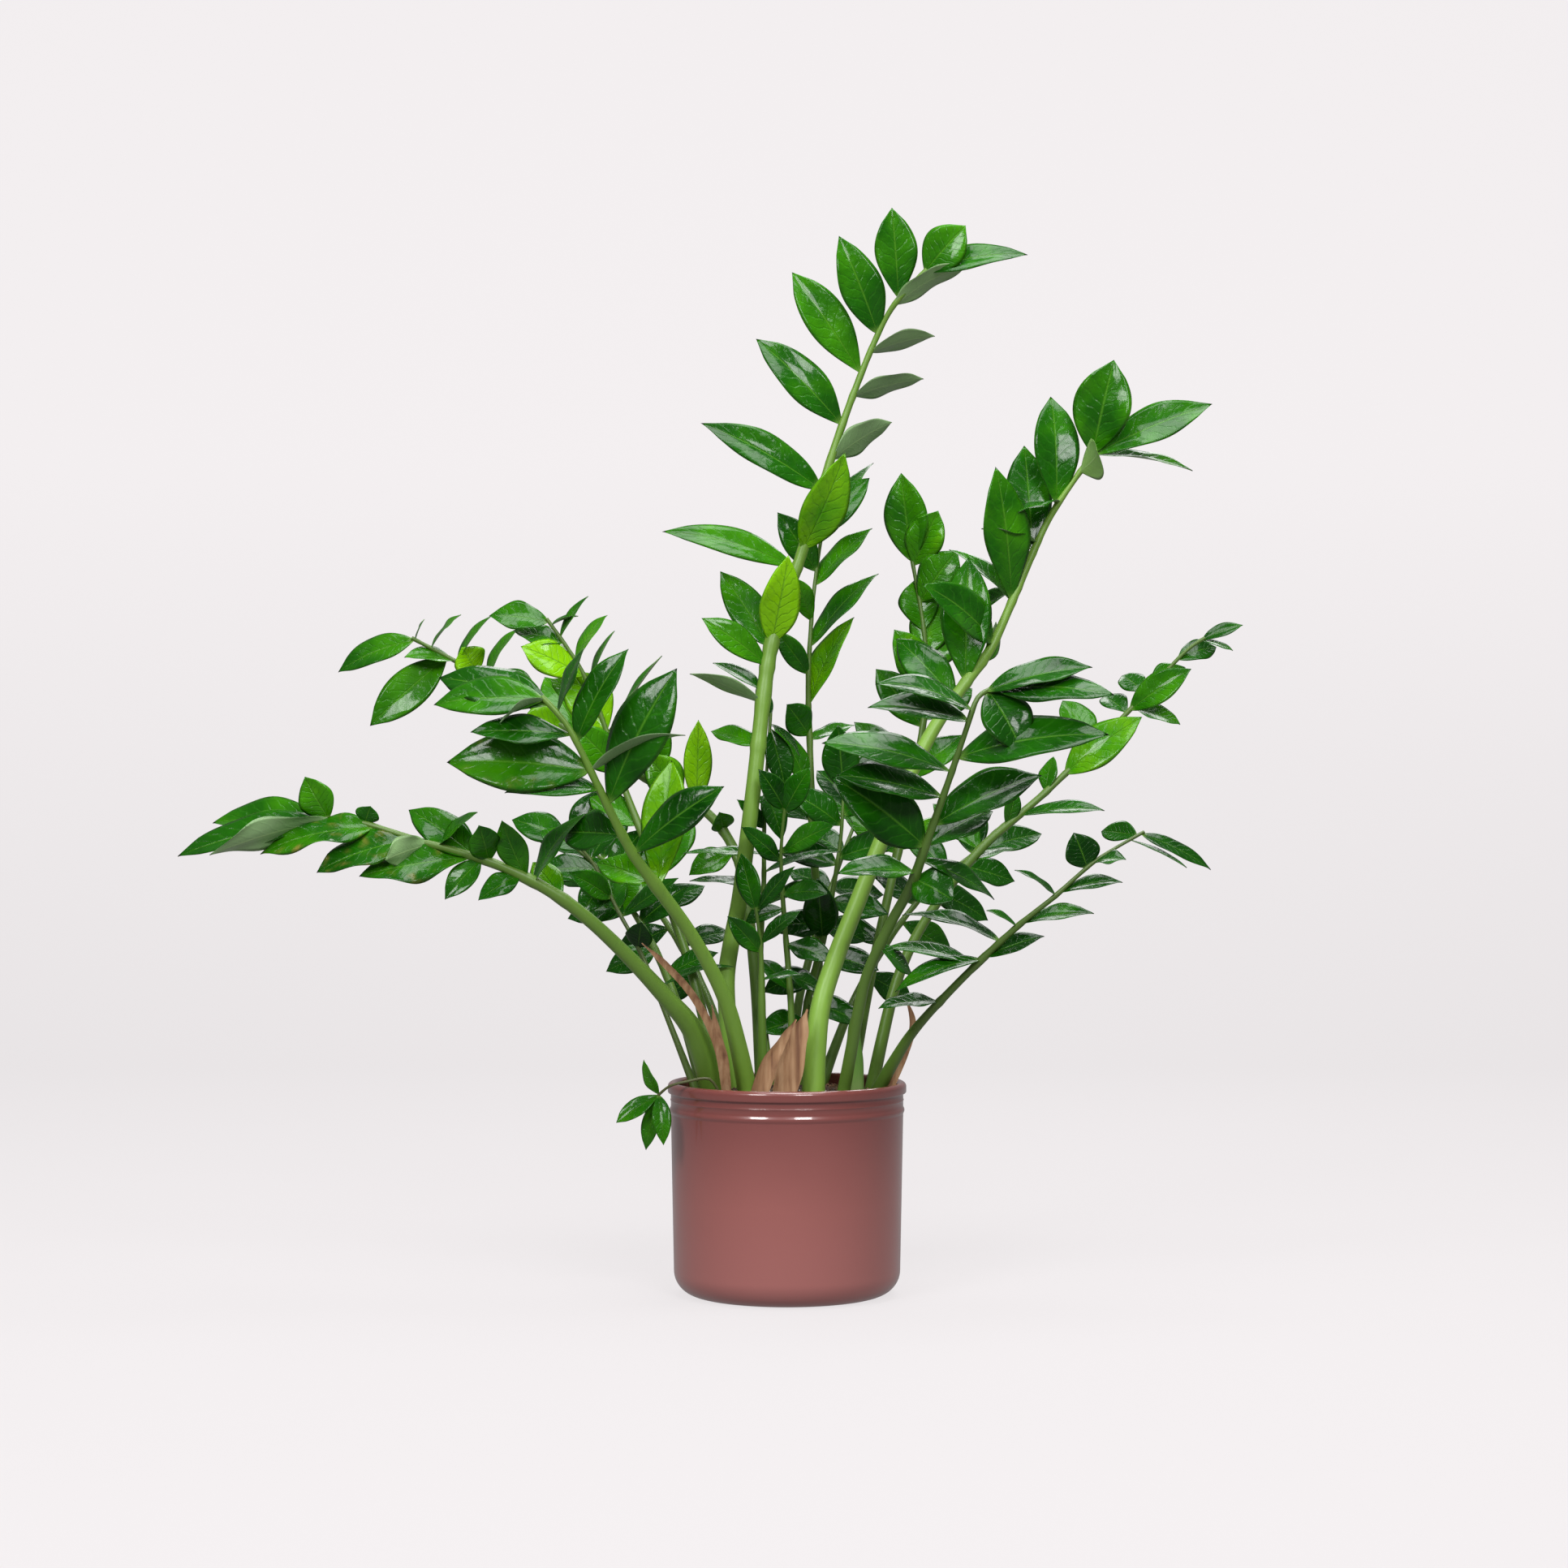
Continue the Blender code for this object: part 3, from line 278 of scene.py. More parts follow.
def vein_group():
    tree = bpy.data.node_groups.new("leaflet veins", "ShaderNodeTree")
    inlet(tree, "Side Veins", "NodeSocketFloat", SIDE_VEINS)
    inlet(tree, "Slant", "NodeSocketFloat", VEIN_SLANT)
    for name in ("Rib", "Veins", "Edge", "Along", "Across", "Height", "Tone"):
        outlet(tree, name, "NodeSocketFloat")
    given = tree.nodes.new("NodeGroupInput")
    uv = place(tree, "ShaderNodeAttribute", attribute_name="leaf_uv").outputs["Vector"]
    tone = place(tree, "ShaderNodeAttribute", attribute_name="tone").outputs["Fac"]
    parts = place(tree, "ShaderNodeSeparateXYZ", {0: uv})
    along = parts.outputs["X"]
    across = calc(tree, "ABSOLUTE", calc(tree, "MULTIPLY_ADD", parts.outputs["Y"], 2.0, -1.0))
    rib = smooth_line(tree, across, RIB_WIDTH)
    sweep = calc(tree, "MULTIPLY", calc(tree, "POWER", across, 0.8), given.outputs["Slant"])
    count = calc(tree, "MULTIPLY", along, given.outputs["Side Veins"])
    wander = place(tree, "ShaderNodeTexNoise",
                   {"Vector": uv, "Scale": 6.0, "Detail": 1.0}).outputs["Fac"]
    phase = calc(tree, "ADD", calc(tree, "SUBTRACT", count, sweep), calc(tree, "MULTIPLY", wander, 0.8))
    from_vein = calc(tree, "ABSOLUTE", calc(tree, "SUBTRACT", calc(tree, "FRACT", phase), 0.5))
    veins = calc(tree, "MULTIPLY", smooth_line(tree, calc(tree, "SUBTRACT", 0.5, from_vein), VEIN_WIDTH),
                 calc(tree, "SUBTRACT", 1.0, calc(tree, "POWER", across, 3.0)))
    where = place(tree, "ShaderNodeTexCoord").outputs["Object"]
    lumps = place(tree, "ShaderNodeTexNoise", {"Vector": where, "Scale": 170.0, "Detail": 2.0,
                                              "Roughness": 0.55}).outputs["Fac"]
    swell = place(tree, "ShaderNodeTexNoise", {"Vector": where, "Scale": 55.0,
                                              "Detail": 1.0}).outputs["Fac"]
    height = calc(tree, "MULTIPLY_ADD", veins, -0.35, calc(tree, "MULTIPLY", lumps, 0.55))
    height = calc(tree, "MULTIPLY_ADD", rib, -0.5, height)
    height = calc(tree, "MULTIPLY_ADD", swell, 0.9, height)
    inside = smooth_line(tree, calc(tree, "SUBTRACT", across, 1 - MARGIN_WIDTH), MARGIN_WIDTH)
    edge = calc(tree, "SUBTRACT", 1.0, inside)
    end = tree.nodes.new("NodeGroupOutput")
    for name, socket in (("Rib", rib), ("Veins", veins), ("Edge", edge), ("Along", along),
                         ("Across", across), ("Height", height), ("Tone", tone)):
        tree.links.new(socket, end.inputs[name])
    return tree


VEINS = vein_group()
print("vein group:", len(VEINS.nodes), "nodes")

# %% [markdown]
# ## Finishes: upper and under skin
#
# Old leaflets are a deep green and young ones yellow-green, so a `tone` from 0 to 1 stored on every
# leaflet picks the colour from a ramp. A slow noise mottles it. The veins and the thin margin are paler.
# Underneath the skin is greyer and has no wax, so it is duller. Its greens are also painted paler than
# the skin's own: painted light that stands in for light from below.

# %% Skin materials
UPPER_GREENS = [(0.0, (0.002, 0.03, 0.001)), (0.3, (0.009, 0.092, 0.001)),
                (0.6, (0.042, 0.22, 0.001)), (1.0, (0.19, 0.47, 0.002))]
# the greyer under skin, painted paler to stand in for light from below: painted light
UNDER_GREENS_WITH_PAINTED_LIGHT = [(0.0, (0.17, 0.3, 0.14)), (0.5, (0.22, 0.39, 0.13)), (1.0, (0.26, 0.52, 0.04))]
WORN = (0.42, 0.25, 0.07)


def ramp(tree, factor, stops):
    """A colour ramp from (position, colour) stops."""
    made = place(tree, "ShaderNodeValToRGB", {"Fac": factor})
    band = made.color_ramp
    while len(band.elements) < len(stops):
        band.elements.new(0.5)
    for element, (position, colour) in zip(band.elements, stops):
        element.position = position
        element.color = (*colour, 1)
    return made.outputs["Color"]


def mix(tree, factor, first, second):
    """Blend two colours; each may be a colour or a socket."""
    made = place(tree, "ShaderNodeMix", {"Factor": factor}, data_type="RGBA")
    for number, value in ((6, first), (7, second)):
        if isinstance(value, bpy.types.NodeSocket):
            tree.links.new(value, made.inputs[number])
        else:
            made.inputs[number].default_value = (*value, 1)
    return made.outputs[2]


def tint(tree, colour, mask, strength, towards):
    """Carry a colour part of the way to another where a mask is bright."""
    return mix(tree, calc(tree, "MULTIPLY", mask, strength), colour, towards)


def new_material(name):
    material = bpy.data.materials.new(name)
    material.use_nodes = True
    tree = material.node_tree
    return material, tree, tree.nodes["Principled BSDF"]


def wire_bump(tree, shader, height, strength, distance):
    bump = place(tree, "ShaderNodeBump", {"Height": height, "Strength": strength, "Distance": distance})
    tree.links.new(bump.outputs["Normal"], shader.inputs["Normal"])


def object_noise(tree, scale, detail=3.0, stretch=(1, 1, 1)):
    """Noise that stays put on the piece, stretched by direction."""
    where = place(tree, "ShaderNodeTexCoord").outputs["Object"]
    turned = place(tree, "ShaderNodeMapping", {"Vector": where, "Scale": stretch}).outputs[0]
    return place(tree, "ShaderNodeTexNoise", {"Vector": turned, "Scale": scale,
                                             "Detail": detail}).outputs["Fac"]


def upper_skin():
    material, tree, shader = new_material("leaflet_upper")
    veins = place(tree, "ShaderNodeGroup", node_tree=VEINS)
    cloud = object_noise(tree, 24.0)
    tone = calc(tree, "ADD", veins.outputs["Tone"],
                calc(tree, "MULTIPLY", calc(tree, "SUBTRACT", cloud, 0.5), 0.8))
    foot = smooth_line(tree, veins.outputs["Along"], 0.1)
    colour = ramp(tree, tone, UPPER_GREENS)
    for mask, strength, towards in ((veins.outputs["Veins"], 0.18, (0.04, 0.2, 0.01)),
                                    (veins.outputs["Rib"], 0.45, (0.1, 0.3, 0.02)),
                                    (veins.outputs["Edge"], 0.35, (0.09, 0.3, 0.03)),
                                    (foot, 0.8, (0.16, 0.32, 0.05))):
        colour = tint(tree, colour, mask, strength, towards)
    scar = place(tree, "ShaderNodeAttribute", attribute_name="scar").outputs["Fac"]
    patch = smooth_line(tree, object_noise(tree, 75.0, 5.0), 0.52)
    near_edge = calc(tree, "SUBTRACT", 1.0, smooth_line(tree, veins.outputs["Across"], 0.75))
    worn = calc(tree, "MULTIPLY", calc(tree, "MULTIPLY", patch, near_edge), scar)
    colour = mix(tree, worn, colour, WORN)
    tree.links.new(colour, shader.inputs["Base Color"])
    rough = calc(tree, "MULTIPLY_ADD", object_noise(tree, 90.0), 0.16, 0.12)
    tree.links.new(rough, shader.inputs["Roughness"])
    shader.inputs["Coat Weight"].default_value = 0.24
    shader.inputs["Coat Roughness"].default_value = 0.07
    shader.inputs["Specular IOR Level"].default_value = 0.11
    wire_bump(tree, shader, veins.outputs["Height"], 0.75, 1.5 * MM)
    return material


def under_skin():
    material, tree, shader = new_material("leaflet_under_with_painted_light")
    veins = place(tree, "ShaderNodeGroup", node_tree=VEINS)
    # the ramp gives the under skin's green with painted light from below
    colour = ramp(tree, veins.outputs["Tone"], UNDER_GREENS_WITH_PAINTED_LIGHT)
    colour = tint(tree, colour, object_noise(tree, 40.0), 0.4, (0.25, 0.36, 0.2))
    colour = tint(tree, colour, veins.outputs["Rib"], 0.55, (0.34, 0.5, 0.2))
    tree.links.new(colour, shader.inputs["Base Color"])
    shader.inputs["Roughness"].default_value = 0.42
    wire_bump(tree, shader, calc(tree, "MULTIPLY", veins.outputs["Height"], -1.0), 0.4, 1.0 * MM)
    return material


UPPER = upper_skin()
UNDER = under_skin()
print("skins:", UPPER.name, UNDER.name)

# %% [markdown]
# ## Finishes: cane, glaze, mix and dry sheath
#
# A cane is yellow-green with darker blotches stretched along it, and olive or brown on old ones: `tone`
# again picks where on that scale it lies. The pot's glaze is one coat over clay with slow clouds and very
# fine ripples. Its rose is painted lighter low down and darker towards the rim: painted light from the
# floor and painted shade under the lip. Potting mix is dull and crumbly. A dry sheath is tan paper with
# long brown streaks.

# %% More materials
CANE_GREENS = [(0.0, (0.08, 0.06, 0.03)), (0.3, (0.07, 0.14, 0.018)), (0.6, (0.14, 0.28, 0.028)),
               (1.0, (0.25, 0.46, 0.06))]
# the glaze's rose from foot to rim: lighter low down as painted light from the floor, darker towards the
# rim as painted shade
GLAZE_ROSES_AND_PAINTED_SHADE = [(0.0, (0.395, 0.138, 0.126)), (0.45, (0.35, 0.112, 0.1)),
               (0.82, (0.24, 0.066, 0.06)), (1.0, (0.2, 0.052, 0.045))]
MIX_BROWNS = [(0.3, (0.018, 0.01, 0.006)), (0.55, (0.07, 0.038, 0.02)), (0.75, (0.16, 0.09, 0.048))]
DRY_TANS = [(0.28, (0.17, 0.075, 0.035)), (0.5, (0.34, 0.185, 0.09)), (0.72, (0.47, 0.29, 0.16))]


def cane_skin():
    material, tree, shader = new_material("cane")
    tone = place(tree, "ShaderNodeAttribute", attribute_name="tone").outputs["Fac"]
    blotch = object_noise(tree, 150.0, 4.0, (1, 1, 0.3))
    colour = ramp(tree, tone, CANE_GREENS)
    colour = tint(tree, colour, smooth_line(tree, blotch, 0.5), 0.4, (0.05, 0.13, 0.02))
    colour = tint(tree, colour, object_noise(tree, 14.0), 0.3, (0.1, 0.2, 0.03))
    tree.links.new(colour, shader.inputs["Base Color"])
    shader.inputs["Roughness"].default_value = 0.42
    height = calc(tree, "MULTIPLY_ADD", object_noise(tree, 260.0, 3.0, (1, 1, 0.2)), 0.6, blotch)
    wire_bump(tree, shader, height, 0.35, 0.8 * MM)
    return material


def glaze_skin(rim_height):
    material, tree, shader = new_material("glaze")
    where = place(tree, "ShaderNodeTexCoord").outputs["Object"]
    height = place(tree, "ShaderNodeSeparateXYZ", {0: where}).outputs["Z"]
    share = calc(tree, "DIVIDE", height, rim_height)
    cloud = object_noise(tree, 11.0, 4.0)
    # height picks the colour, with the glaze's slow clouds on top: painted light low on the pot, painted
    # shade near the rim
    level = calc(tree, "MULTIPLY_ADD", calc(tree, "SUBTRACT", cloud, 0.5), 0.12, share)
    tree.links.new(ramp(tree, level, GLAZE_ROSES_AND_PAINTED_SHADE), shader.inputs["Base Color"])
    rough = calc(tree, "MULTIPLY_ADD", object_noise(tree, 30.0), 0.06, 0.27)
    tree.links.new(rough, shader.inputs["Roughness"])
    shader.inputs["Coat Weight"].default_value = 0.8
    shader.inputs["Coat Roughness"].default_value = 0.05
    ripple = calc(tree, "MULTIPLY_ADD", object_noise(tree, 60.0, 2.0, (1, 1, 3)), 0.6,
                  object_noise(tree, 240.0, 2.0))
    wire_bump(tree, shader, ripple, 0.003, 1.0 * MM)
    return material


def mix_skin():
    material, tree, shader = new_material("potting_mix")
    crumb = object_noise(tree, 320.0, 5.0)
    colour = ramp(tree, crumb, MIX_BROWNS)
    colour = tint(tree, colour, object_noise(tree, 45.0), 0.5, MIX_BROWNS[0][1])
    tree.links.new(colour, shader.inputs["Base Color"])
    shader.inputs["Roughness"].default_value = 0.95
    wire_bump(tree, shader, crumb, 0.9, 1.5 * MM)
    return material


def dry_skin():
    material, tree, shader = new_material("dry_sheath")
    streak = object_noise(tree, 210.0, 4.0, (1, 1, 0.05))
    blot = object_noise(tree, 48.0, 3.0, (1, 1, 0.5))
    colour = ramp(tree, streak, DRY_TANS)
    colour = mix(tree, smooth_line(tree, blot, 0.5), colour, (0.13, 0.048, 0.024))
    tree.links.new(colour, shader.inputs["Base Color"])
    shader.inputs["Roughness"].default_value = 0.75
    wire_bump(tree, shader, streak, 0.8, 1.0 * MM)
    return material


RIM_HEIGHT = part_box("pot")[1].z
CANE = cane_skin()
GLAZE = glaze_skin(RIM_HEIGHT)
MIX = mix_skin()
DRY = dry_skin()
print("finishes:", [m.name for m in (CANE, GLAZE, MIX, DRY)])

# %% [markdown]
# ## The planting plan
#
# Every frond is planned as a gardener might stake it out: against an upright board behind the
# plant, seen from the camera's place. A point is its distance across the board, its height, and
# its depth behind the board, all in centimetres. A leaflet is its base and its tip on the board,
# its breadth, how far it is turned edge-on, and how far its tip leans forward. The alternative,
# one random frond copied round the pot, would never give this plant's own outline.

# %% Fronds: route, thickness at foot, middle and end, then leaflets
FRONDS = {
    "frond_tall_centre": dict(
        route=[(-5.2, 20, 1), (-6, 30.7, 1), (-4.7, 38.7, 2), (-3.2, 50.7, 3), (-1.6, 63.7, 5),
               (1.2, 72.2, 6), (5.3, 85.2, 7), (8.8, 94.2, 7), (11, 98, 6), (13.8, 100.9, 5.5)],
        thick=(1.9, 1.5, 0.5),
        leaves=[(0.8, 71.7, -11.9, 75.4, 3.6, 35, 12), (2.2, 79.7, -8.1, 86.0, 4.0, 22, 8),
                (5.2, 85.7, -2.8, 94.2, 4.3, 15, 5), (7.4, 90.8, 0.5, 100.5, 4.5, 12, 5),
                (8.8, 94.6, 5.1, 104.0, 4.4, 8, 8), (11.2, 97.8, 10.3, 106.8, 4.3, 5, 8),
                (13.5, 100.7, 17.5, 105.0, 4.6, -10, 15), (13.8, 100.8, 23.4, 102.7, 3.2, -35, 10),
                (10.7, 97.1, 17.6, 101.7, 3.8, -118, 10), (8.3, 92.6, 14.6, 94.7, 3.8, -112, -15),
                (6.2, 88.5, 13.4, 90.6, 3.8, -115, -12), (4.0, 82.2, 10.2, 86.2, 4.2, -125, -12),
                (1.3, 73.2, 5.7, 82.2, 4.6, 20, 25), (1.6, 74.2, 8.2, 80.6, 4.0, -20, -15),
                (-1.5, 64.2, 0.2, 72.2, 4.1, 10, 25), (-1.8, 63.6, -6.6, 71.4, 4.0, 15, -12),
                (-2.1, 61.8, -8.1, 66.6, 3.2, 25, 15), (-2.4, 59.2, -7.3, 62.3, 2.8, 60, -15),
                (-2.6, 58.2, -9.4, 61.4, 2.8, 120, 15), (-3.2, 54.2, -7.6, 55.5, 2.6, 40, -30)]),
    "frond_slim_centre": dict(
        route=[(2.8, 20, 5), (3.1, 35.7, 8.5), (2.6, 43.7, 10.5), (2.2, 55.7, 12), (2.1, 61, 12),
               (2.6, 68.7, 13), (3.4, 74.7, 14)],
        thick=(1.2, 0.8, 0.35),
        leaves=[(3.3, 74.2, 8.0, 82.6, 3.6, -60, -15), (2.8, 71.2, -0.8, 76.9, 3.4, 10, 10),
                (2.7, 69.7, 8.3, 75.7, 3.4, -50, -10), (2.3, 66.2, 0.8, 70.4, 2.4, 20, 25),
                (2.2, 63.7, 8.6, 71.6, 3.4, -50, -10), (1.9, 61.2, -1.0, 65.2, 2.4, 10, 20),
                (2.0, 57.7, 6.3, 66.9, 3.6, -45, -5), (2.1, 55.0, 0.0, 58.0, 3.4, 20, 30),
                (2.1, 54.5, 6.6, 56.3, 2.8, -60, -15), (2.2, 49.0, -1.2, 56.2, 2.8, 35, 0),
                (2.3, 48.7, 6.6, 46.6, 2.6, -60, 0), (2.4, 46.5, -3.5, 49.0, 2.4, 50, -20)]),
    "frond_right_tall": dict(
        route=[(2.6, 20, -4), (3.4, 28.7, -3), (7.0, 38.7, 0), (11, 48.7, 3), (14.5, 55.7, 5.5),
               (18, 60.7, 7), (20.5, 64.4, 9), (25, 74.7, 10.5), (27.5, 79, 10.5), (30.3, 82.9, 10.5)],
        thick=(2.3, 1.5, 0.55),
        leaves=[(30.0, 83.0, 32.0, 91.8, 6.0, -10, 10), (30.3, 82.9, 41.9, 87.7, 4.4, -30, 0),
                (30.2, 82.7, 40.1, 81.2, 3.2, -68, -5), (27.0, 77.4, 26.3, 88.7, 4.8, 10, -5),
                (28.8, 81.0, 30.5, 82.6, 4.2, 150, 70), (24.4, 72.8, 23.6, 83.9, 4.8, 5, -15),
                (22.0, 68.4, 20.8, 81.0, 5.0, 20, 15), (28.0, 77.4, 22.5, 77.2, 3.4, 82, 35),
                (25.3, 73.6, 19.0, 75.2, 3.4, 84, 25), (22.0, 68.4, 16.2, 73.6, 3.2, 60, -10),
                (20.3, 64.2, 13.8, 69.7, 4.8, 35, 35), (18.0, 59.7, 18.0, 72.7, 5.2, -10, -10),
                (19.3, 62.0, 21.2, 66.4, 2.6, 50, -40), (16.5, 58.5, 10.8, 65.2, 4.2, 10, -30),
                (22.5, 69.5, 16.6, 66.2, 2.8, 60, -30)]),
    "frond_front_right": dict(
        route=[(5.6, 20, -5), (8, 31.7, -9), (12, 39.7, -13), (13.5, 43.7, -15), (16, 50.7, -17),
               (17.7, 55.7, -18), (18.8, 58.7, -18), (20.3, 59.6, -17)],
        thick=(1.3, 1.0, 0.45),
        leaves=[(19.5, 59.3, 29.8, 62.4, 3.8, -50, 5), (20.3, 59.5, 31.9, 59.3, 4.8, -52, 15),
                (20.0, 59.2, 23.2, 53.3, 5.0, -20, 20), (17.2, 52.5, 31.3, 55.2, 6.0, -48, 15),
                (14.3, 46.0, 25.0, 51.7, 5.0, -40, -5), (13.5, 44.2, 20.4, 48.0, 4.4, -45, -20),
                (18.2, 57.5, 9.0, 60.7, 4.2, 62, 12), (17.9, 56.5, 8.0, 58.0, 4.4, 55, 5),
                (16.1, 51.5, 3.6, 54.7, 5.0, 52, 8), (15.4, 49.0, 5.0, 51.4, 4.8, 52, 15),
                (13.3, 44.0, 4.8, 51.0, 5.6, 20, 15), (12.5, 41.6, 5.0, 41.7, 3.6, 55, 20),
                (12.3, 41.0, 16.3, 38.8, 4.6, -25, 25), (13.2, 42.6, 21.2, 39.2, 3.0, -55, -25),
                (9.0, 34.4, 12.5, 31.2, 2.8, -60, -20)]),
    "frond_mid_right": dict(
        route=[(6.2, 20, 5.5), (8.4, 32, 9), (10.8, 43, 14), (13, 53.7, 17), (13.8, 60, 18),
               (13.4, 66, 19), (12.3, 72.4, 20)],
        thick=(1.2, 0.9, 0.4),
        leaves=[(12.3, 72.4, 11.2, 80.8, 4.6, -10, 5), (12.5, 71.7, 14.8, 77.0, 4.2, -10, 15),
                (13.2, 68.2, 16.6, 73.2, 4.6, -15, 10), (13.5, 65.4, 12.6, 70.4, 4.4, 10, -10),
                (13.6, 60.0, 10.7, 65.4, 4.4, 20, 10), (13.7, 61.6, 17.0, 66.0, 3.8, -20, -10),
                (13.7, 62.8, 14.6, 68.6, 4.4, -5, -20), (13.4, 55.6, 8.8, 61.6, 4.2, 20, -10),
                (13.4, 56.4, 18.4, 60.0, 3.8, -30, -20), (12.2, 50.0, 6.8, 56.8, 3.6, 30, -25),
                (12.4, 51.0, 17.5, 55.4, 3.8, -40, -10), (10.8, 43.2, 5.6, 47.4, 3.4, 40, -10),
                (10.9, 43.8, 16.8, 47.0, 3.6, -50, -10)]),
    "frond_right_arch": dict(
        route=[(8.3, 20, 2.5), (10.5, 29.7, 4), (13, 35.7, 6), (16.5, 40.7, 8), (20, 44.7, 10),
               (25.5, 49.4, 12), (33.5, 57.2, 13), (39, 63.0, 13), (41.2, 64.6, 13)],
        thick=(1.4, 0.9, 0.35),
        leaves=[(41.0, 64.5, 44.9, 66.0, 1.8, -40, 0), (41.0, 64.5, 43.9, 63.4, 1.4, -60, 10),
                (38.5, 62.5, 42.6, 64.0, 2.8, -35, -20), (35.8, 59.8, 39.5, 62.0, 3.0, -30, -20),
                (33.8, 57.5, 39.6, 61.5, 3.4, -25, 15), (34.2, 57.8, 38.7, 56.2, 3.0, -55, 10),
                (35.5, 59.2, 33.2, 61.2, 2.8, 20, -45), (33.5, 57.1, 31.4, 59.0, 2.8, 30, -50),
                (27.5, 51.0, 34.9, 56.8, 4.4, -25, 5), (30.5, 54.0, 27.4, 58.6, 3.6, 20, -30),
                (25.3, 49.4, 26.3, 53.0, 2.2, -40, -20), (22.8, 46.8, 31.0, 48.0, 2.8, -62, 15),
                (21.7, 46.0, 22.5, 49.8, 2.0, 30, 10), (19.0, 43.8, 14.6, 48.6, 3.4, 30, -30),
                (18.0, 42.6, 22.6, 44.2, 2.6, -70, -30)]),
    "frond_right_low": dict(
        route=[(8.9, 20, -2), (12, 25.2, -5.5), (15.5, 29.2, -9), (19.5, 33.2, -10.5), (23, 36.4, -12),
               (26.5, 39.2, -13), (30.5, 42.7, -13), (35.2, 45.5, -12)],
        thick=(1.5, 0.7, 0.3),
        leaves=[(35.0, 45.4, 41.9, 42.2, 2.2, -50, 5), (34.0, 44.8, 39.3, 42.2, 1.6, -75, 15),
                (34.5, 45.1, 31.2, 45.6, 2.4, 30, -50), (29.6, 42.0, 28.3, 45.4, 3.5, 10, 5),
                (30.0, 42.4, 33.2, 43.0, 2.4, -65, 25), (26.7, 39.4, 32.9, 41.0, 2.4, -60, 5),
                (26.5, 39.2, 22.6, 42.0, 1.6, 68, 10), (23.0, 36.4, 30.0, 38.0, 2.6, -60, 10),
                (22.8, 36.2, 19.8, 38.0, 1.6, 70, 10), (19.5, 33.4, 25.2, 35.4, 2.8, -55, 10),
                (19.2, 33.0, 10.5, 30.3, 3.2, 64, 10), (18.6, 32.4, 9.6, 34.4, 3.2, 66, -12),
                (21.0, 34.7, 11.6, 37.8, 3.0, 66, -20), (15.0, 28.8, 9.0, 28.6, 2.8, 66, 15)]),
    "frond_left_low": dict(
        route=[(-7.0, 20, -2), (-9, 25.4, -4), (-11.5, 28.7, -6), (-17, 34.5, -9), (-22.5, 39.1, -11),
               (-29, 42.4, -12), (-36, 44.5, -12), (-42, 46.4, -11), (-45.5, 46.8, -10)],
        thick=(3.1, 1.3, 0.5),
        leaves=[(-45.5, 46.8, -47.5, 50.9, 3.5, -10, 5), (-45.4, 46.8, -57.0, 46.4, 4.6, 50, -10),
                (-45.3, 46.7, -59.9, 43.3, 4.2, 45, 5), (-45.0, 46.8, -55.9, 43.5, 3.6, 130, 30),
                (-40.5, 46.0, -51.8, 43.9, 4.6, 48, 8), (-36.5, 44.8, -46.2, 41.8, 4.6, 45, 10),
                (-31.0, 43.2, -41.9, 41.4, 4.6, 42, 12), (-41.5, 46.2, -41.0, 48.0, 2.4, 0, 20),
                (-30.5, 43.3, -37.6, 48.0, 4.0, 25, -15), (-35.0, 44.4, -39.3, 42.8, 3.2, 150, 35),
                (-34.3, 44.2, -30.6, 47.6, 3.0, -70, 10), (-29.5, 42.6, -30.0, 46.0, 3.2, 20, 40),
                (-30.3, 42.6, -33.5, 39.1, 2.6, 15, 25), (-26.3, 41.2, -30.2, 38.9, 2.6, 30, 30),
                (-25.5, 41.2, -28.0, 46.6, 3.0, -15, 15), (-25.0, 40.8, -20.4, 47.6, 3.4, -60, 10),
                (-22.0, 39.0, -25.2, 42.6, 3.0, 20, -20)]),
    "frond_left_mid": dict(
        route=[(-3.9, 20, -4.5), (-6, 28.7, -7.5), (-10, 36.2, -11), (-15, 43.0, -15), (-18.5, 49.7, -18),
               (-21.5, 55.7, -19), (-24.2, 58.8, -19)],
        thick=(2.0, 1.3, 0.5),
        leaves=[(-24.0, 58.6, -34.9, 58.6, 4.8, 38, 0), (-23.2, 58.0, -34.7, 61.0, 5.2, 38, -15),
                (-23.8, 58.4, -28.2, 56.4, 2.2, 100, 35), (-22.8, 57.2, -20.0, 63.6, 3.0, -65, 5),
                (-21.3, 55.0, -31.0, 55.3, 3.8, 45, 12), (-20.8, 54.2, -15.9, 63.6, 3.8, -35, 5),
                (-19.3, 51.6, -33.4, 52.8, 6.4, 22, 5), (-18.5, 49.8, -27.6, 49.6, 3.8, 50, 15),
                (-19.0, 51.6, -10.3, 55.8, 3.4, -108, 10), (-17.2, 48.2, -11.1, 61.6, 6.0, -25, 8),
                (-14.8, 43.6, -6.2, 50.0, 4.4, -35, 12), (-16.0, 45.2, -22.4, 45.4, 4.4, 30, -30),
                (-12.6, 40.2, -11.6, 52.6, 4.4, -5, -28), (-12.8, 40.6, -19.0, 42.4, 3.6, 35, -25)]),
    "frond_left_back_upper": dict(
        route=[(-2.4, 20, 7), (-3.2, 32, 11), (-4.8, 42.6, 15.5), (-8.3, 47.7, 17), (-13.5, 50.5, 19),
               (-20, 54.4, 20.5), (-27, 59.0, 20.5), (-32.5, 62.2, 20), (-37, 64.6, 19)],
        thick=(1.5, 1.0, 0.4),
        leaves=[(-36.9, 64.5, -44.4, 61.5, 3.6, 35, 0), (-33.5, 62.6, -40.9, 55.9, 4.4, 10, 10),
                (-33.0, 62.4, -37.4, 62.9, 3.2, 60, 25), (-37.0, 64.5, -35.9, 66.5, 1.8, -80, 0),
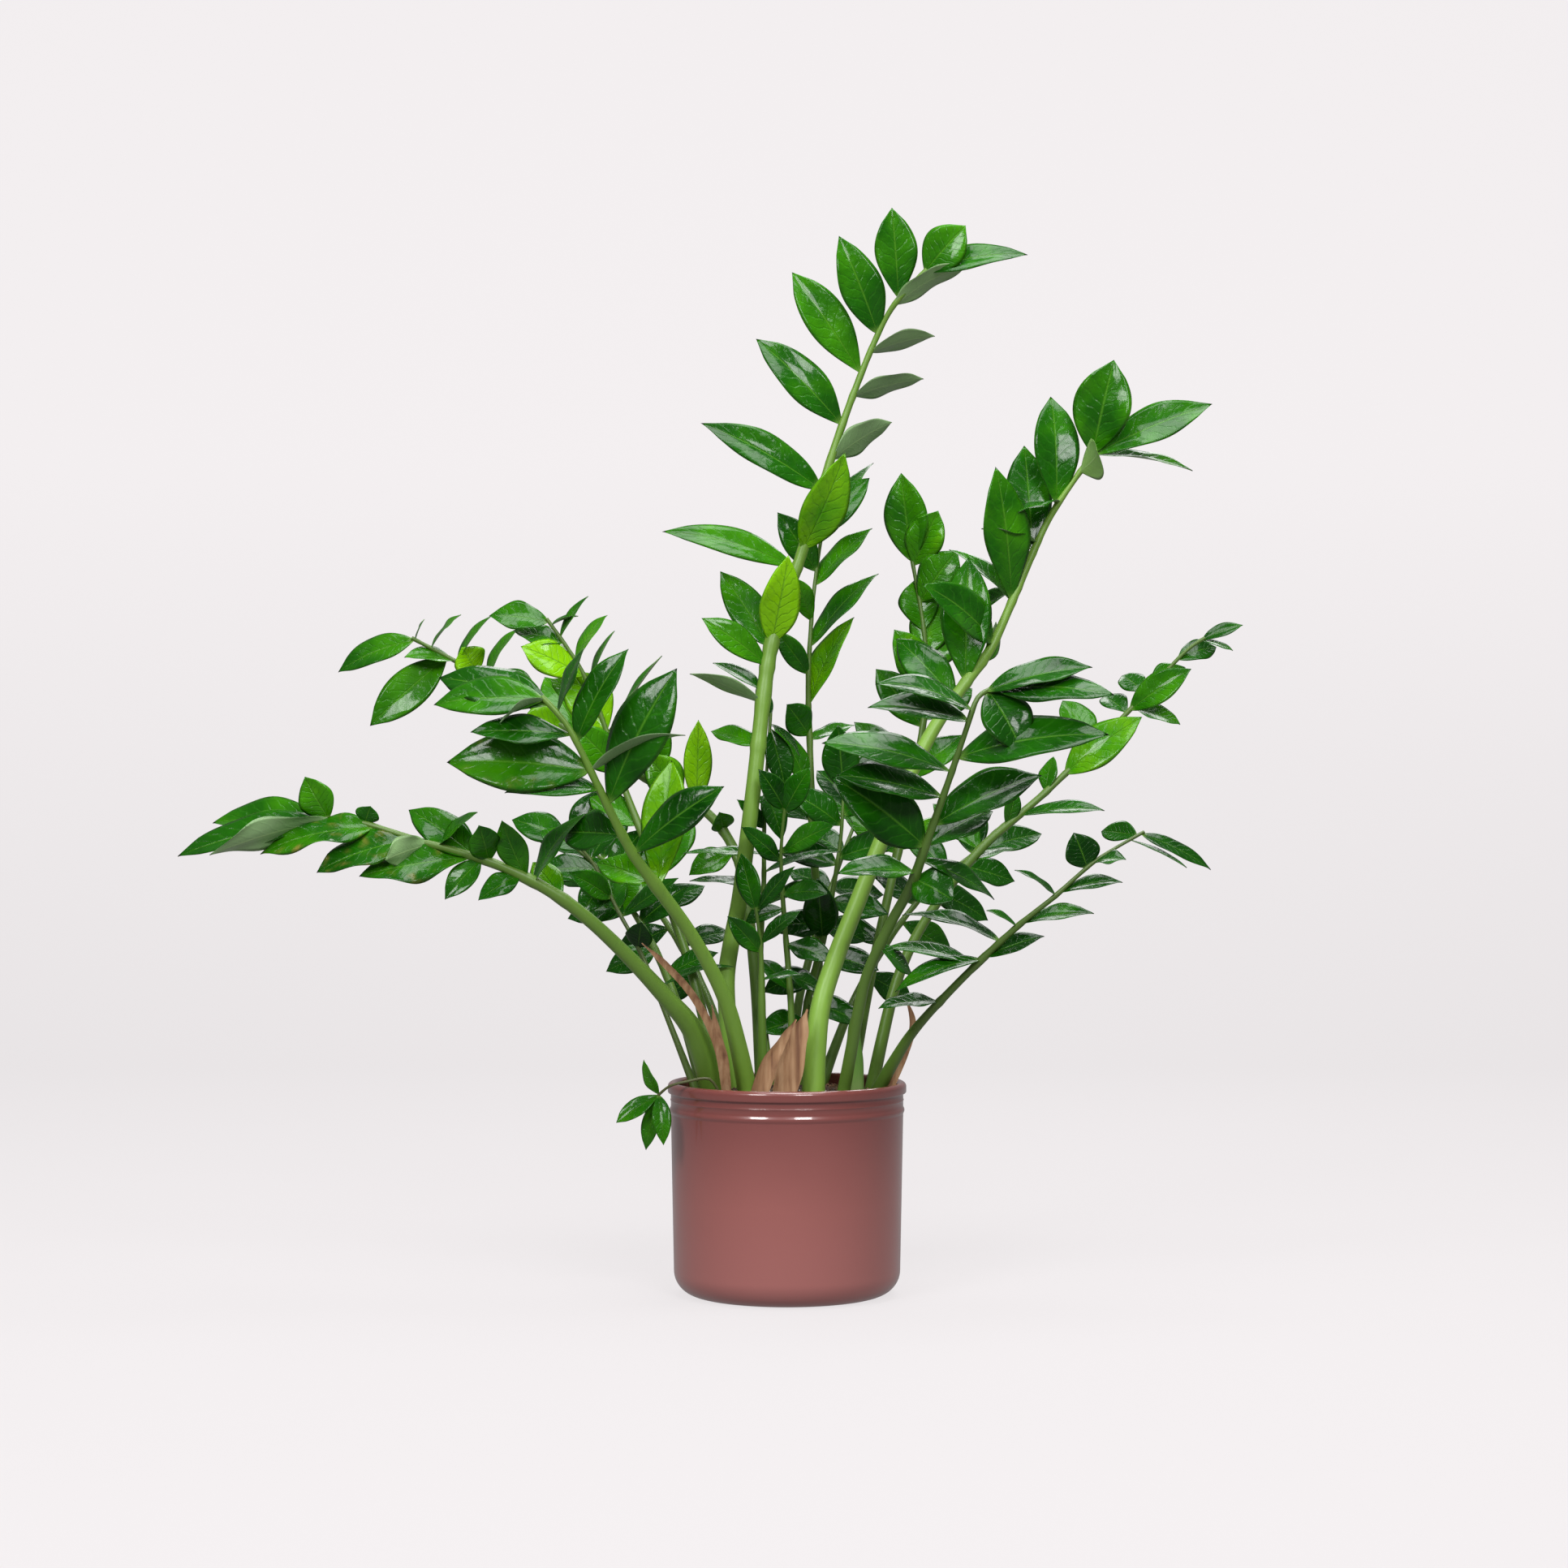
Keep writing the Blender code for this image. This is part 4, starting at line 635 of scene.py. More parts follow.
                (-35.2, 63.7, -32.4, 67.1, 2.4, -75, 10), (-32.7, 62.2, -29.4, 66.9, 3.0, -70, 5),
                (-29.7, 60.6, -26.8, 65.7, 3.0, -65, 5), (-30.5, 61.1, -31.9, 63.6, 3.8, 20, 25),
                (-25.0, 57.8, -28.9, 61.6, 4.4, 25, -10), (-22.0, 55.9, -26.0, 56.2, 4.6, 30, 30),
                (-20.2, 54.6, -24.2, 61.2, 4.0, 15, -25), (-14.0, 50.7, -12.2, 57.0, 3.4, 10, 10),
                (-8.8, 48.0, -8.7, 56.5, 3.0, 5, 5), (-10.5, 48.9, -13.8, 53.0, 4.2, 10, 15),
                (-6.5, 45.6, -6.6, 47.4, 2.6, 20, 50), (-5.2, 43.6, -9.6, 41.5, 3.0, 30, 20)]),
    "frond_left_back_lower": dict(
        route=[(-6.6, 20, 4.5), (-9.5, 32, 8), (-13, 42, 10.5), (-16, 49.7, 12.5), (-18, 56, 13),
               (-20.3, 61.5, 13), (-23.7, 66.5, 13)],
        thick=(1.3, 0.9, 0.35),
        leaves=[(-23.7, 66.5, -29.3, 67.0, 3.6, 35, 5), (-22.0, 64.2, -27.0, 65.6, 3.2, 50, -5),
                (-23.2, 65.9, -20.6, 66.8, 2.0, -80, 0), (-22.2, 64.8, -19.9, 68.9, 1.8, -60, 0),
                (-20.7, 62.4, -18.0, 67.0, 2.8, -60, 5), (-19.4, 60.0, -17.3, 65.4, 2.6, -75, 5),
                (-20.0, 60.8, -25.9, 63.9, 4.2, 30, 15), (-18.4, 57.2, -23.4, 61.0, 3.4, 35, -20),
                (-17.8, 55.4, -21.3, 61.4, 5.0, 10, -15), (-17.6, 54.8, -12.4, 62.9, 2.6, -80, -5),
                (-16.5, 51.2, -21.0, 56.0, 4.0, 15, 15), (-16.2, 50.4, -15.6, 57.8, 4.0, -10, -20),
                (-14.6, 46.2, -19.6, 49.0, 3.6, 30, -15), (-12.6, 41.0, -9.4, 47.0, 3.4, -25, -15),
                (-13.0, 42.0, -16.0, 37.6, 3.2, 20, 15)]),
    "frond_thin_left": dict(
        route=[(-9.0, 20, 1), (-12.2, 28.2, 2.5), (-14.5, 33.7, 4), (-16.5, 37.4, 6), (-19, 42.2, 7.5),
               (-20.5, 44, 7.5)],
        thick=(0.9, 0.5, 0.3),
        leaves=[(-20.4, 43.9, -24.5, 45.6, 2.6, 30, -20), (-16.8, 37.6, -18.2, 42.0, 3.4, 10, -30),
                (-17.5, 38.8, -21.4, 41.6, 2.8, 30, 25), (-16.3, 37.0, -10.7, 41.0, 2.8, -50, 10),
                (-18.3, 40.4, -20.2, 37.4, 3.0, 15, 20), (-14.7, 33.8, -14.3, 36.6, 2.8, -10, 35),
                (-12.9, 30.0, -5.6, 33.0, 1.8, -75, 15), (-19.5, 42.8, -16.6, 46.8, 2.8, -30, -20)]),
    "frond_centre_thin": dict(
        route=[(-1.4, 20, 2.5), (-2.6, 30, 3.5), (-2.3, 40, 4.8), (-2.2, 48, 6), (-1.6, 57.2, 7)],
        thick=(0.8, 0.5, 0.3),
        leaves=[(-1.7, 56.2, 1.4, 53.2, 2.0, -70, 0), (-1.8, 55.6, -0.2, 50.0, 3.0, -20, 5),
                (-2.1, 49.5, -0.4, 44.8, 2.6, -20, 20), (-2.2, 46.0, -4.7, 48.7, 1.8, 30, 25),
                (-2.3, 43.4, -10.2, 43.4, 2.4, 72, 5), (-2.3, 41.4, 5.2, 43.6, 2.4, -72, 5),
                (-2.3, 40.0, -9.6, 40.8, 2.4, 70, 0), (-2.4, 38.0, 3.2, 40.6, 2.4, -60, 10),
                (-1.7, 57.0, -3.0, 60.0, 1.6, 20, -25)]),
    "frond_centre_front": dict(
        route=[(-2.4, 20, -1.6), (-2.5, 28, -2), (-2.6, 34, -2), (-3.1, 38, -2.4)],
        thick=(1.6, 0.8, 0.3),
        leaves=[(-2.6, 33.6, -5.8, 37.2, 2.2, 10, 15), (-3.1, 38.0, -4.6, 43.4, 2.4, -10, -10),
                (-3.0, 37.6, 0.6, 42.2, 2.4, -50, 10), (-2.6, 34.5, 1.2, 37.8, 2.2, -50, -10),
                (-2.6, 31.0, 1.4, 31.6, 1.8, -70, 15)]),
    "frond_centre_short": dict(
        route=[(0.4, 20, 0), (0.4, 28, 0.6), (-0.2, 36, 1.6), (-0.6, 43, 2.2), (-0.2, 48, 1.8)],
        thick=(1.0, 0.6, 0.3),
        leaves=[(-0.3, 47.6, -2.6, 51.6, 2.6, 20, 20), (-0.3, 47.2, 2.2, 51.8, 2.8, -20, 20),
                (-0.6, 43.4, 4.6, 46.2, 3.0, -40, 25), (-0.6, 42.8, -4.4, 46.0, 2.6, 40, 30),
                (-0.4, 39.4, 4.0, 39.6, 3.0, -45, 20), (-0.3, 37.8, -4.2, 36.6, 2.6, 50, 10),
                (-0.1, 34.6, 4.4, 33.2, 3.0, -40, 20), (0.2, 31.4, 4.0, 29.6, 2.6, -55, -10),
                (0.3, 30.0, -2.6, 33.0, 2.2, 40, -10)]),
    "frond_centre_back": dict(
        route=[(1.4, 20, 3.2), (1.9, 28, 4.2), (3.8, 36, 5.6), (5.2, 44, 6.6), (5.6, 50, 7.4)],
        thick=(1.0, 0.7, 0.3),
        leaves=[(5.6, 50.0, 5.0, 56.0, 3.8, -5, 10), (5.4, 47.0, 11.0, 51.0, 3.8, -35, 10),
                (5.4, 46.0, 0.4, 49.6, 3.8, 35, 10), (5.0, 43.0, 11.0, 44.5, 3.8, -45, 15),
                (4.8, 42.2, -1.0, 43.8, 3.8, 45, -10), (4.3, 38.5, 10.0, 37.6, 3.8, -45, 10),
                (4.0, 36.5, -2.0, 36.4, 3.8, 45, 10), (3.3, 33.6, 9.0, 32.0, 3.8, -45, 15),
                (2.8, 31.2, -2.4, 30.0, 3.6, 40, 10), (2.2, 28.8, 7.4, 26.6, 3.4, -45, 15),
                (1.9, 26.8, -2.6, 26.0, 3.2, 50, 10), (3.5, 34.8, 3.0, 40.8, 3.6, 0, 25)]),
    "frond_left_inner": dict(
        route=[(-8.3, 20, 3.6), (-10.6, 28, 5.4), (-13.6, 35, 8.6), (-17.4, 40.6, 11),
               (-21.6, 44.6, 12.5)],
        thick=(1.2, 0.8, 0.35),
        leaves=[(-21.6, 44.6, -27.2, 47.0, 3.8, 35, -10), (-20.6, 43.8, -19.0, 49.6, 3.8, 0, -15),
                (-18.6, 42.0, -24.6, 41.4, 3.8, 40, 5), (-17.4, 40.9, -14.2, 45.8, 3.6, -35, -10),
                (-15.8, 38.6, -21.6, 37.0, 3.6, 40, 5), (-14.4, 36.7, -9.8, 40.4, 3.6, -45, -10),
                (-12.8, 34.0, -17.8, 31.8, 3.4, 35, 10), (-11.6, 31.6, -6.8, 33.6, 3.2, -50, -10)]),
    "frond_back_centre": dict(
        route=[(0.2, 20, 7.5), (1.2, 29, 12), (3.4, 37, 17), (5.6, 43.5, 22), (7.4, 48, 26)],
        thick=(1.2, 0.8, 0.35),
        leaves=[(7.4, 48.0, 9.2, 54.0, 4.0, -10, -35), (7.0, 47.2, 3.0, 51.8, 3.8, 30, -30),
                (6.8, 46.8, 12.4, 49.4, 3.8, -40, -30), (5.6, 43.5, 1.0, 46.0, 3.8, 45, -25),
                (5.6, 43.3, 10.8, 44.4, 3.8, -50, -20), (4.4, 40.0, 0.2, 41.6, 3.6, 50, -25),
                (4.4, 39.8, 9.6, 39.2, 3.8, -50, -20), (3.2, 36.4, 7.8, 34.8, 3.6, -40, 0),
                (3.0, 35.6, -0.8, 36.8, 3.2, 50, -30)]),
    "frond_back_left": dict(
        route=[(-5.2, 20, 7.5), (-7.4, 28, 12), (-10.6, 34.5, 17), (-14.4, 39.6, 22), (-19, 43.4, 27)],
        thick=(1.3, 0.8, 0.35),
        leaves=[(-19.0, 43.4, -25.4, 45.6, 3.8, 40, -25), (-18.2, 42.8, -17.0, 48.6, 3.8, 0, -30),
                (-16.8, 41.7, -22.4, 40.4, 3.8, 40, -15), (-15.8, 40.8, -11.4, 44.8, 3.8, -35, -25),
                (-14.2, 39.4, -20.6, 36.6, 3.6, 35, -10), (-13.0, 38.0, -8.2, 40.4, 3.6, -45, -25),
                (-11.6, 36.0, -17.0, 33.4, 3.4, 35, -10), (-10.4, 34.2, -5.4, 35.8, 3.4, -50, -20),
                (-8.8, 31.4, -12.6, 28.6, 3.2, 30, -10)]),
    "frond_back_right": dict(
        route=[(3.2, 20, 8), (6.2, 28, 13), (9.8, 34.5, 18), (14, 39.8, 23), (19, 43.8, 28)],
        thick=(1.3, 0.8, 0.35),
        leaves=[(19.0, 43.8, 25.4, 45.4, 3.8, -40, -25), (18.4, 43.4, 18.0, 48.8, 3.8, 0, -30),
                (16.8, 42.4, 22.6, 40.6, 3.8, -40, -15), (15.6, 41.4, 11.6, 46.0, 3.8, 35, -25),
                (13.8, 39.8, 20.0, 36.8, 3.6, -35, -10), (12.6, 38.4, 8.2, 42.2, 3.6, 45, -25),
                (11.2, 36.4, 16.6, 33.2, 3.4, -35, -10), (9.6, 34.2, 5.0, 36.8, 3.4, 50, -20),
                (8.0, 31.4, 12.4, 28.8, 3.2, -30, -10)]),
    "rim_sprig": dict(
        route=[(-6.4, 19.2, -6.4), (-7.6, 21.1, -6.8), (-9.7, 20.9, -7), (-11.6, 20.4, -6.6),
               (-12.8, 19.4, -6)],
        thick=(0.3, 0.28, 0.24),
        leaves=[(-12.8, 19.6, -14.3, 22.9, 1.5, -40, 10), (-12.8, 19.4, -16.8, 16.9, 2.0, 30, 10),
                (-12.7, 19.4, -14.1, 14.2, 1.9, 25, 5), (-12.7, 19.4, -12.1, 14.8, 1.9, -10, 20)]),
}
print(len(FRONDS), "fronds,", sum(len(f["leaves"]) for f in FRONDS.values()), "leaflets planned")

# %% Dry sheaths and the new shoot: points with the width at each
BLADES = {
    "dry_sheath_front": [(-0.4, 19.2, -6.4, 2.4), (0.3, 22.0, -6.6, 2.8), (1.2, 25.4, -6.5, 1.9),
                         (2.0, 28.0, -6.2, 0.2)],
    "dry_sheath_inner": [(-2.9, 19.2, -5.6, 1.8), (-1.7, 22.4, -5.6, 2.0), (-0.2, 25.0, -5.3, 1.2),
                         (0.9, 27.0, -5.0, 0.2)],
    "dry_sheath_long": [(-5.9, 19.2, -4.6, 0.8), (-6.9, 24.6, -5.5, 0.9), (-9.2, 29.2, -7.0, 0.8),
                        (-12.0, 32.4, -9.0, 0.7), (-14.3, 34.5, -10.0, 0.1)],
    "dry_sheath_left": [(-5.9, 19.2, -6.6, 1.0), (-6.3, 22.8, -7.8, 1.2), (-6.9, 25.6, -8.8, 0.9),
                        (-7.4, 28.4, -9.6, 0.1)],
    "dry_sheath_right": [(9.8, 19.2, 0.3, 0.7), (11.6, 23.6, 0.2, 0.8), (12.4, 26.6, 0.2, 0.7),
                         (11.6, 29.4, -0.2, 0.1)],
    "new_shoot": [(6.9, 19.2, -1.6, 1.6), (6.6, 22.6, -1.6, 2.0), (6.6, 25.8, -1.6, 1.3),
                  (6.7, 28.5, -1.6, 0.1)],
}
print(len(BLADES), "blades planned")

# %% [markdown]
# ## Tone, the age of each frond
#
# Young fronds are lighter. Each frond has its own tone from 0, old and dark, to 1, fresh, and a few
# leaflets stand out from their frond, because they are younger or thinner. A few low ones are worn and
# curled. All of these are told by the leaflet's number in its frond's plan, from 0. The crowded inner and
# back fronds share one dark tone. It is an old leaf's green and also painted shade deep in the middle of
# the plant.

# %% Tones
TONES = {
    "frond_tall_centre": (0.4, {12: 0.85, 13: 0.45, 14: 1.0, 16: 0.6}),
    "frond_slim_centre": (0.35, {6: 0.6}),
    "frond_right_tall": (0.3, {0: 0.45, 4: 0.7, 12: 0.8}),
    "frond_front_right": (0.2, {}),
    "frond_mid_right": (0.45, {}),
    "frond_right_arch": (0.35, {8: 0.6}),
    "frond_right_low": (0.2, {}),
    "frond_left_low": (0.3, {0: 0.5, 16: 0.7}),
    "frond_left_mid": (0.25, {12: 0.7, 13: 0.5}),
    "frond_left_back_upper": (0.5, {1: 0.55, 7: 0.8, 9: 0.85, 12: 1.0, 13: 0.7}),
    "frond_left_back_lower": (0.45, {1: 0.5, 6: 1.0, 8: 0.85}),
    "rim_sprig": (0.45, {}),
}
# fronds without a tone of their own, the crowded inner and back ones: dark old-leaf green that is also
# painted shade
INNER_TONE_WITH_PAINTED_SHADE = (0.22, {})
# how worn a leaflet is, and how many times stronger its margin waves
SCARRED = {"frond_left_low": {3: 1.0, 4: 1.0, 5: 0.9, 6: 0.8, 9: 0.6}, "frond_left_mid": {6: 0.25}}
CURLED = {"frond_left_low": {3: 3.0, 4: 2.6, 5: 3.2, 6: 2.2, 9: 2.0}}
CANE_TONES = {"frond_right_tall": 1.0, "frond_tall_centre": 0.8, "frond_left_low": 0.55,
              "frond_left_mid": 0.75, "frond_front_right": 0.4, "frond_right_low": 0.35,
              "frond_centre_front": 0.55, "frond_thin_left": 0.25, "rim_sprig": 0.05}
COMMON_CANE_TONE = 0.5
print("fronds with a tone of their own:", len(TONES))

# %% [markdown]
# ## Growing the plan in space
#
# A sighted point is carried back into space along the line of sight. A cane runs through its
# points on a smooth curve. The plan alone would let some leaflets cut through their neighbours,
# so each one is tested, as a slim solid, against everything already there, and is turned, leaned
# or shortened a little until it is clear. The real plant does the same by growing round itself.

# %% From the board into space
GAP = 0.4 * MM                  # clearance between neighbouring pieces
SOIL_EDGE = 19.6 * CM
STUB_DEPTH = 3.5 * CM           # how deep a cane stands in the mix
CANE_STEP = 5.0 * CM
TEST_SIDES = 6
LEAF_SPACING = 0.4 * CM
RIB_THICKNESS = 1.5 * MM
FOLD = 0.22                     # how far a leaflet's halves rise, as a share of their width
BOW = 0.035                     # how far a leaflet arches, as a share of its length
LEAF_STATIONS = (0.2, 0.5, 0.8)


def sighted(across, up, depth):
    """The place in space of a point sighted on the board (centimetres in, metres out)."""
    reach = (depth * CM - EYE.y) / -EYE.y
    x = EYE.x + (across * CM - EYE.x) * reach
    z = EYE.z + (up * CM - EYE.z) * reach
    return Vector((x, depth * CM, z))


def on_board(point):
    """Across and up on the board, in centimetres, of a point in space."""
    reach = (point.y - EYE.y) / -EYE.y
    return Vector(((point.x - EYE.x) / reach + EYE.x, (point.z - EYE.z) / reach + EYE.z)) / CM


def between(a, b, c, d, t):
    """A point on the smooth curve from b to c that also heeds their neighbours (Catmull-Rom)."""
    return 0.5 * (2 * b + (c - a) * t + (2 * a - 5 * b + 4 * c - d) * t * t
                  + (3 * b - a - 3 * c + d) * t ** 3)


def smooth_route(points, step):
    """Points a step apart on a smooth curve through the given ones."""
    ends = [2 * points[0] - points[1], *points, 2 * points[-1] - points[-2]]
    dense = []
    for a, b, c, d in zip(ends, ends[1:], ends[2:], ends[3:]):
        pieces = max(2, round((c - b).length / step))
        dense += [between(a, b, c, d, k / pieces) for k in range(pieces)]
    return dense + [points[-1].copy()]


def cane_route(route, step):
    """A cane's centre line: straight up out of the mix, then along its own curve."""
    points = [sighted(*stake) for stake in route]
    foot = points[0].copy()
    foot.z = SOIL_EDGE - STUB_DEPTH
    return [foot] + smooth_route(points, step)


def cane_radius(share, thick):
    """Radius at a share of the cane's length: a swollen foot, then a long taper."""
    foot, middle, end = thick
    if share < 0.5:
        ease = (1 - share * 2) ** 2
        return (middle + (foot - middle) * ease) * CM / 2
    ease = 1 - (2 - share * 2) ** 1.6
    return (middle + (end - middle) * ease) * CM / 2


print("the eye sees the pot's base at", [round(v, 1) for v in on_board(Vector((0, 0, 0)))], "cm")

# %% Slim solids for the test


def tube(points, radii, sides):
    """Vertices and faces of a closed tube; its rings are carried along without twisting."""
    vertices = []
    faces = []
    side = Vector((1, 0, 0))
    for k, point in enumerate(points):
        ahead = points[min(k + 1, len(points) - 1)] - points[max(k - 1, 0)]
        ahead.normalize()
        side = (side - ahead * side.dot(ahead)).normalized()
        other = ahead.cross(side)
        for n in range(sides):
            angle = math.tau * n / sides
            vertices.append(point + (side * math.cos(angle) + other * math.sin(angle)) * radii[k])
    for k in range(len(points) - 1):
        for n in range(sides):
            following = (n + 1) % sides
            low = k * sides
            faces.append((low + n, low + following, low + sides + following, low + sides + n))
    faces.append(tuple(reversed(range(sides))))
    faces.append(tuple(range((len(points) - 1) * sides, len(points) * sides)))
    return vertices, faces


def cane_tube(route, thick):
    points = cane_route(route, CANE_STEP)
    radii = [cane_radius(k / (len(points) - 1), thick) for k in range(len(points))]
    return tube(points, radii, TEST_SIDES)


def leaf_width(share):
    """Half breadth, from 0 to 1: a lens with a wedge base and a pointed tip."""
    return math.sin(math.pi * share ** 1.05) ** 0.85


def leaf_frame(base, tip_board, turn, lean, length_share):
    """Length, direction and upper-face normal of a leaflet from its tip on the board."""
    start = on_board(base)
    span = Vector(tip_board) - start
    reach = (base.y - EYE.y) / -EYE.y
    flat = span.length * CM * reach
    angle = math.radians(lean)
    along = Vector((span.x * math.cos(angle), 0, span.y * math.cos(angle))) / span.length
    along.y = -math.sin(angle)
    front = Vector((0, -1, 0))
    normal = (front - along * front.dot(along)).normalized()
    normal.rotate(Quaternion(along, math.radians(turn)))
    return flat / math.cos(angle) * length_share, along, normal


def leaf_solid(base, length, along, normal, breadth, extra=0.0):
    """A thin folded lens: one point at the base, three sections of four, one at the tip."""
    side = normal.cross(along)
    vertices = [base]
    for share in LEAF_STATIONS:
        half = breadth * CM / 2 * leaf_width(share) + extra
        rib = RIB_THICKNESS / 2 + extra
        middle = base + along * length * share + normal * BOW * length * 4 * share * (1 - share)
        rise = normal * half * FOLD
        vertices += [middle - side * half + rise, middle - normal * rib,
                     middle + side * half + rise, middle + normal * rib]
    vertices.append(base + along * (length + extra))
    faces = []
    for n in range(4):
        following = (n + 1) % 4
        faces.append((0, 1 + following, 1 + n))
        for ring in range(len(LEAF_STATIONS) - 1):
            low = 1 + ring * 4
            faces.append((low + n, low + following, low + 4 + following))
            faces.append((low + n, low + 4 + following, low + 4 + n))
        last = 1 + (len(LEAF_STATIONS) - 1) * 4
        faces.append((last + n, last + following, len(vertices) - 1))
    return vertices, faces


def tree_of(solid):
    return BVHTree.FromPolygons([tuple(v) for v in solid[0]], solid[1], epsilon=0.0)


def node_solid(name):
    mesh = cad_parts[name].data
    return [v.co.copy() for v in mesh.vertices], [tuple(face.vertices) for face in mesh.polygons]


print("pot is tested as", len(node_solid("pot")[1]), "faces")

# %% Place every leaflet


def tries():
    """Changes of turn, lean and length, smallest first, for a leaflet that meets another piece."""
    for length_share in (1.0, 0.9, 0.8, 0.65):
        for size in (0, 7, 14, 21, 28, 36, 44):
            for lean_sign in (1, -1):
                for turn_sign in (0, 1, -1):
                    yield turn_sign * size, lean_sign * size, length_share


def places_on_cane(route):
    """Closely spaced points on the axis of the cane's tube, short of its two ends."""
    rings = cane_route(route, CANE_STEP)[1:]
    line = []
    for low, high in zip(rings, rings[1:]):
        pieces = max(1, math.ceil((high - low).length / LEAF_SPACING))
        line += [low.lerp(high, k / pieces) for k in range(pieces)]
    return line[1:]


def placed_leaf(name, leaf, route, obstacles):
    """A leaflet that clears every other frond: (base, length, along, normal, breadth)."""
    base_across, base_up, tip_across, tip_up, breadth, turn, lean = leaf
    target = Vector((base_across, base_up))
    base = min(places_on_cane(route), key=lambda point: (on_board(point) - target).length)
    for more_turn, more_lean, length_share in tries():
        length, along, normal = leaf_frame(base, (tip_across, tip_up), turn + more_turn,
                                           lean + more_lean, length_share)
        stout = tree_of(leaf_solid(base, length, along, normal, breadth, GAP))
        if not any(owner != name and stout.overlap(tree) for owner, tree in obstacles):
            return base, length, along, normal, breadth
    return None


def grow():
    """Every frond's leaflets in turn, each clear of what is already there."""
    obstacles = [(name, tree_of(cane_tube(frond["route"], frond["thick"])))
                 for name, frond in FRONDS.items()]
    others = [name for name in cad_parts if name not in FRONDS]
    obstacles += [(name, tree_of(node_solid(name))) for name in others]
    plan = {}
    for name, frond in FRONDS.items():
        plan[name] = []
        for leaf in frond["leaves"]:
            placed = placed_leaf(name, leaf, frond["route"], obstacles)
            if placed:
                obstacles.append((name, tree_of(leaf_solid(*placed))))
                plan[name].append(placed)
    return plan


PLAN = grow()
print("leaflets placed:", sum(len(leaves) for leaves in PLAN.values()))

# %% [markdown]
# ## A leaflet as a small formula
#
# A leaflet is one flat grid bent by a rule: a lens-shaped outline with a drawn-out tip, two
# halves that rise from the main vein, a long arch, a tip that droops, and a slow wave along the
# margin. Modelling each of more than two hundred by hand would take days, and copies of one would
# look stamped. Geometry Nodes lay a grid at every point of a frond and bend each one by the
# numbers stored at its point, so they are all related and none is the same. The under side is the
# same grid again, dropped by the leaflet's thickness, which thins to nothing at the margin.

# %% The leaflet tree
ROWS = 27
COLUMNS = 9
LEAF_THICKNESS = 0.9 * MM
WELD = 0.004 * MM               # the two shells are joined where they are closer than this
POINT_NUMBERS = ("length", "half", "tone", "scar", "bow", "droop", "wave", "phase", "fold", "roll",
                 "belly")


def growth_tree(name):
    """A Geometry Nodes tree that takes a shape and gives a shape."""
    tree = bpy.data.node_groups.new(name, "GeometryNodeTree")
    inlet(tree, "Geometry", "NodeSocketGeometry")
    outlet(tree, "Geometry", "NodeSocketGeometry")
    return tree


def give_back(tree, geometry):
    """Make a shape the tree's result."""
    end = tree.nodes.new("NodeGroupOutput")
    tree.links.new(geometry, end.inputs[0])


def realized(tree, geometry):
    return place(tree, "GeometryNodeRealizeInstances", {0: geometry}).outputs[0]


def coated(tree, geometry, material, faces=None):
    """Set Material on every face, or on those that a mask picks."""
    values = {"Geometry": geometry, "Material": material}
    if faces is not None:
        values["Selection"] = faces
    return place(tree, "GeometryNodeSetMaterial", values).outputs[0]


def grid_with_uv(tree, rows, columns):
    """A unit grid that remembers where it is on the leaflet, from base to tip and side to side."""
    grid = place(tree, "GeometryNodeMeshGrid", {"Size X": 1.0, "Size Y": 1.0, "Vertices X": rows,
                                                "Vertices Y": columns})
    where = place(tree, "GeometryNodeInputPosition").outputs[0]
    parts = place(tree, "ShaderNodeSeparateXYZ", {0: where})
    u = calc(tree, "ADD", parts.outputs["X"], 0.5)
    flat_v = calc(tree, "MULTIPLY", parts.outputs["Y"], 2.0)
    v = calc(tree, "MULTIPLY", calc(tree, "SIGN", flat_v),
             calc(tree, "POWER", calc(tree, "ABSOLUTE", flat_v), 0.72))
    shape = grid.outputs["Mesh"]
    for name, value in (("u", u), ("v", v)):
        shape = place(tree, "GeometryNodeStoreNamedAttribute", {"Geometry": shape, "Name": name,
                                                                "Value": value}).outputs["Geometry"]
    across = calc(tree, "MULTIPLY_ADD", v, 0.5, 0.5)
    both = place(tree, "ShaderNodeCombineXYZ", {0: u, 1: across}).outputs[0]
    stored = place(tree, "GeometryNodeStoreNamedAttribute", {"Geometry": shape, "Name": "leaf_uv"},
                   data_type="FLOAT2", domain="CORNER")
    tree.links.new(both, stored.inputs["Value"])
    return stored.outputs["Geometry"]


def named(tree, name, kind="FLOAT"):
    """What is stored under a name at each point or face."""
    made = place(tree, "GeometryNodeInputNamedAttribute", {"Name": name}, data_type=kind)
    return made.outputs["Attribute"]


def leaf_outline(tree, u, belly):
    """Half breadth from 0 to 1: a wedge base, a full belly and a drawn-out tip."""
    wave = calc(tree, "SINE", calc(tree, "MULTIPLY", calc(tree, "POWER", u, belly), math.pi))
    lens = calc(tree, "POWER", calc(tree, "MAXIMUM", wave, 0.0), 0.85)
    from_tip = calc(tree, "SUBTRACT", 1.0, u)
    point = calc(tree, "MINIMUM", calc(tree, "MULTIPLY", from_tip, 7.0), 1.0)
    lens = calc(tree, "MULTIPLY", lens, calc(tree, "MULTIPLY_ADD", point, 0.3, 0.7))
    stalk = calc(tree, "MULTIPLY", calc(tree, "MINIMUM", calc(tree, "MULTIPLY", u, 60.0), 1.0),
                 calc(tree, "MULTIPLY", calc(tree, "LESS_THAN", u, 0.5), 0.11))
    return calc(tree, "MAXIMUM", lens, stalk)


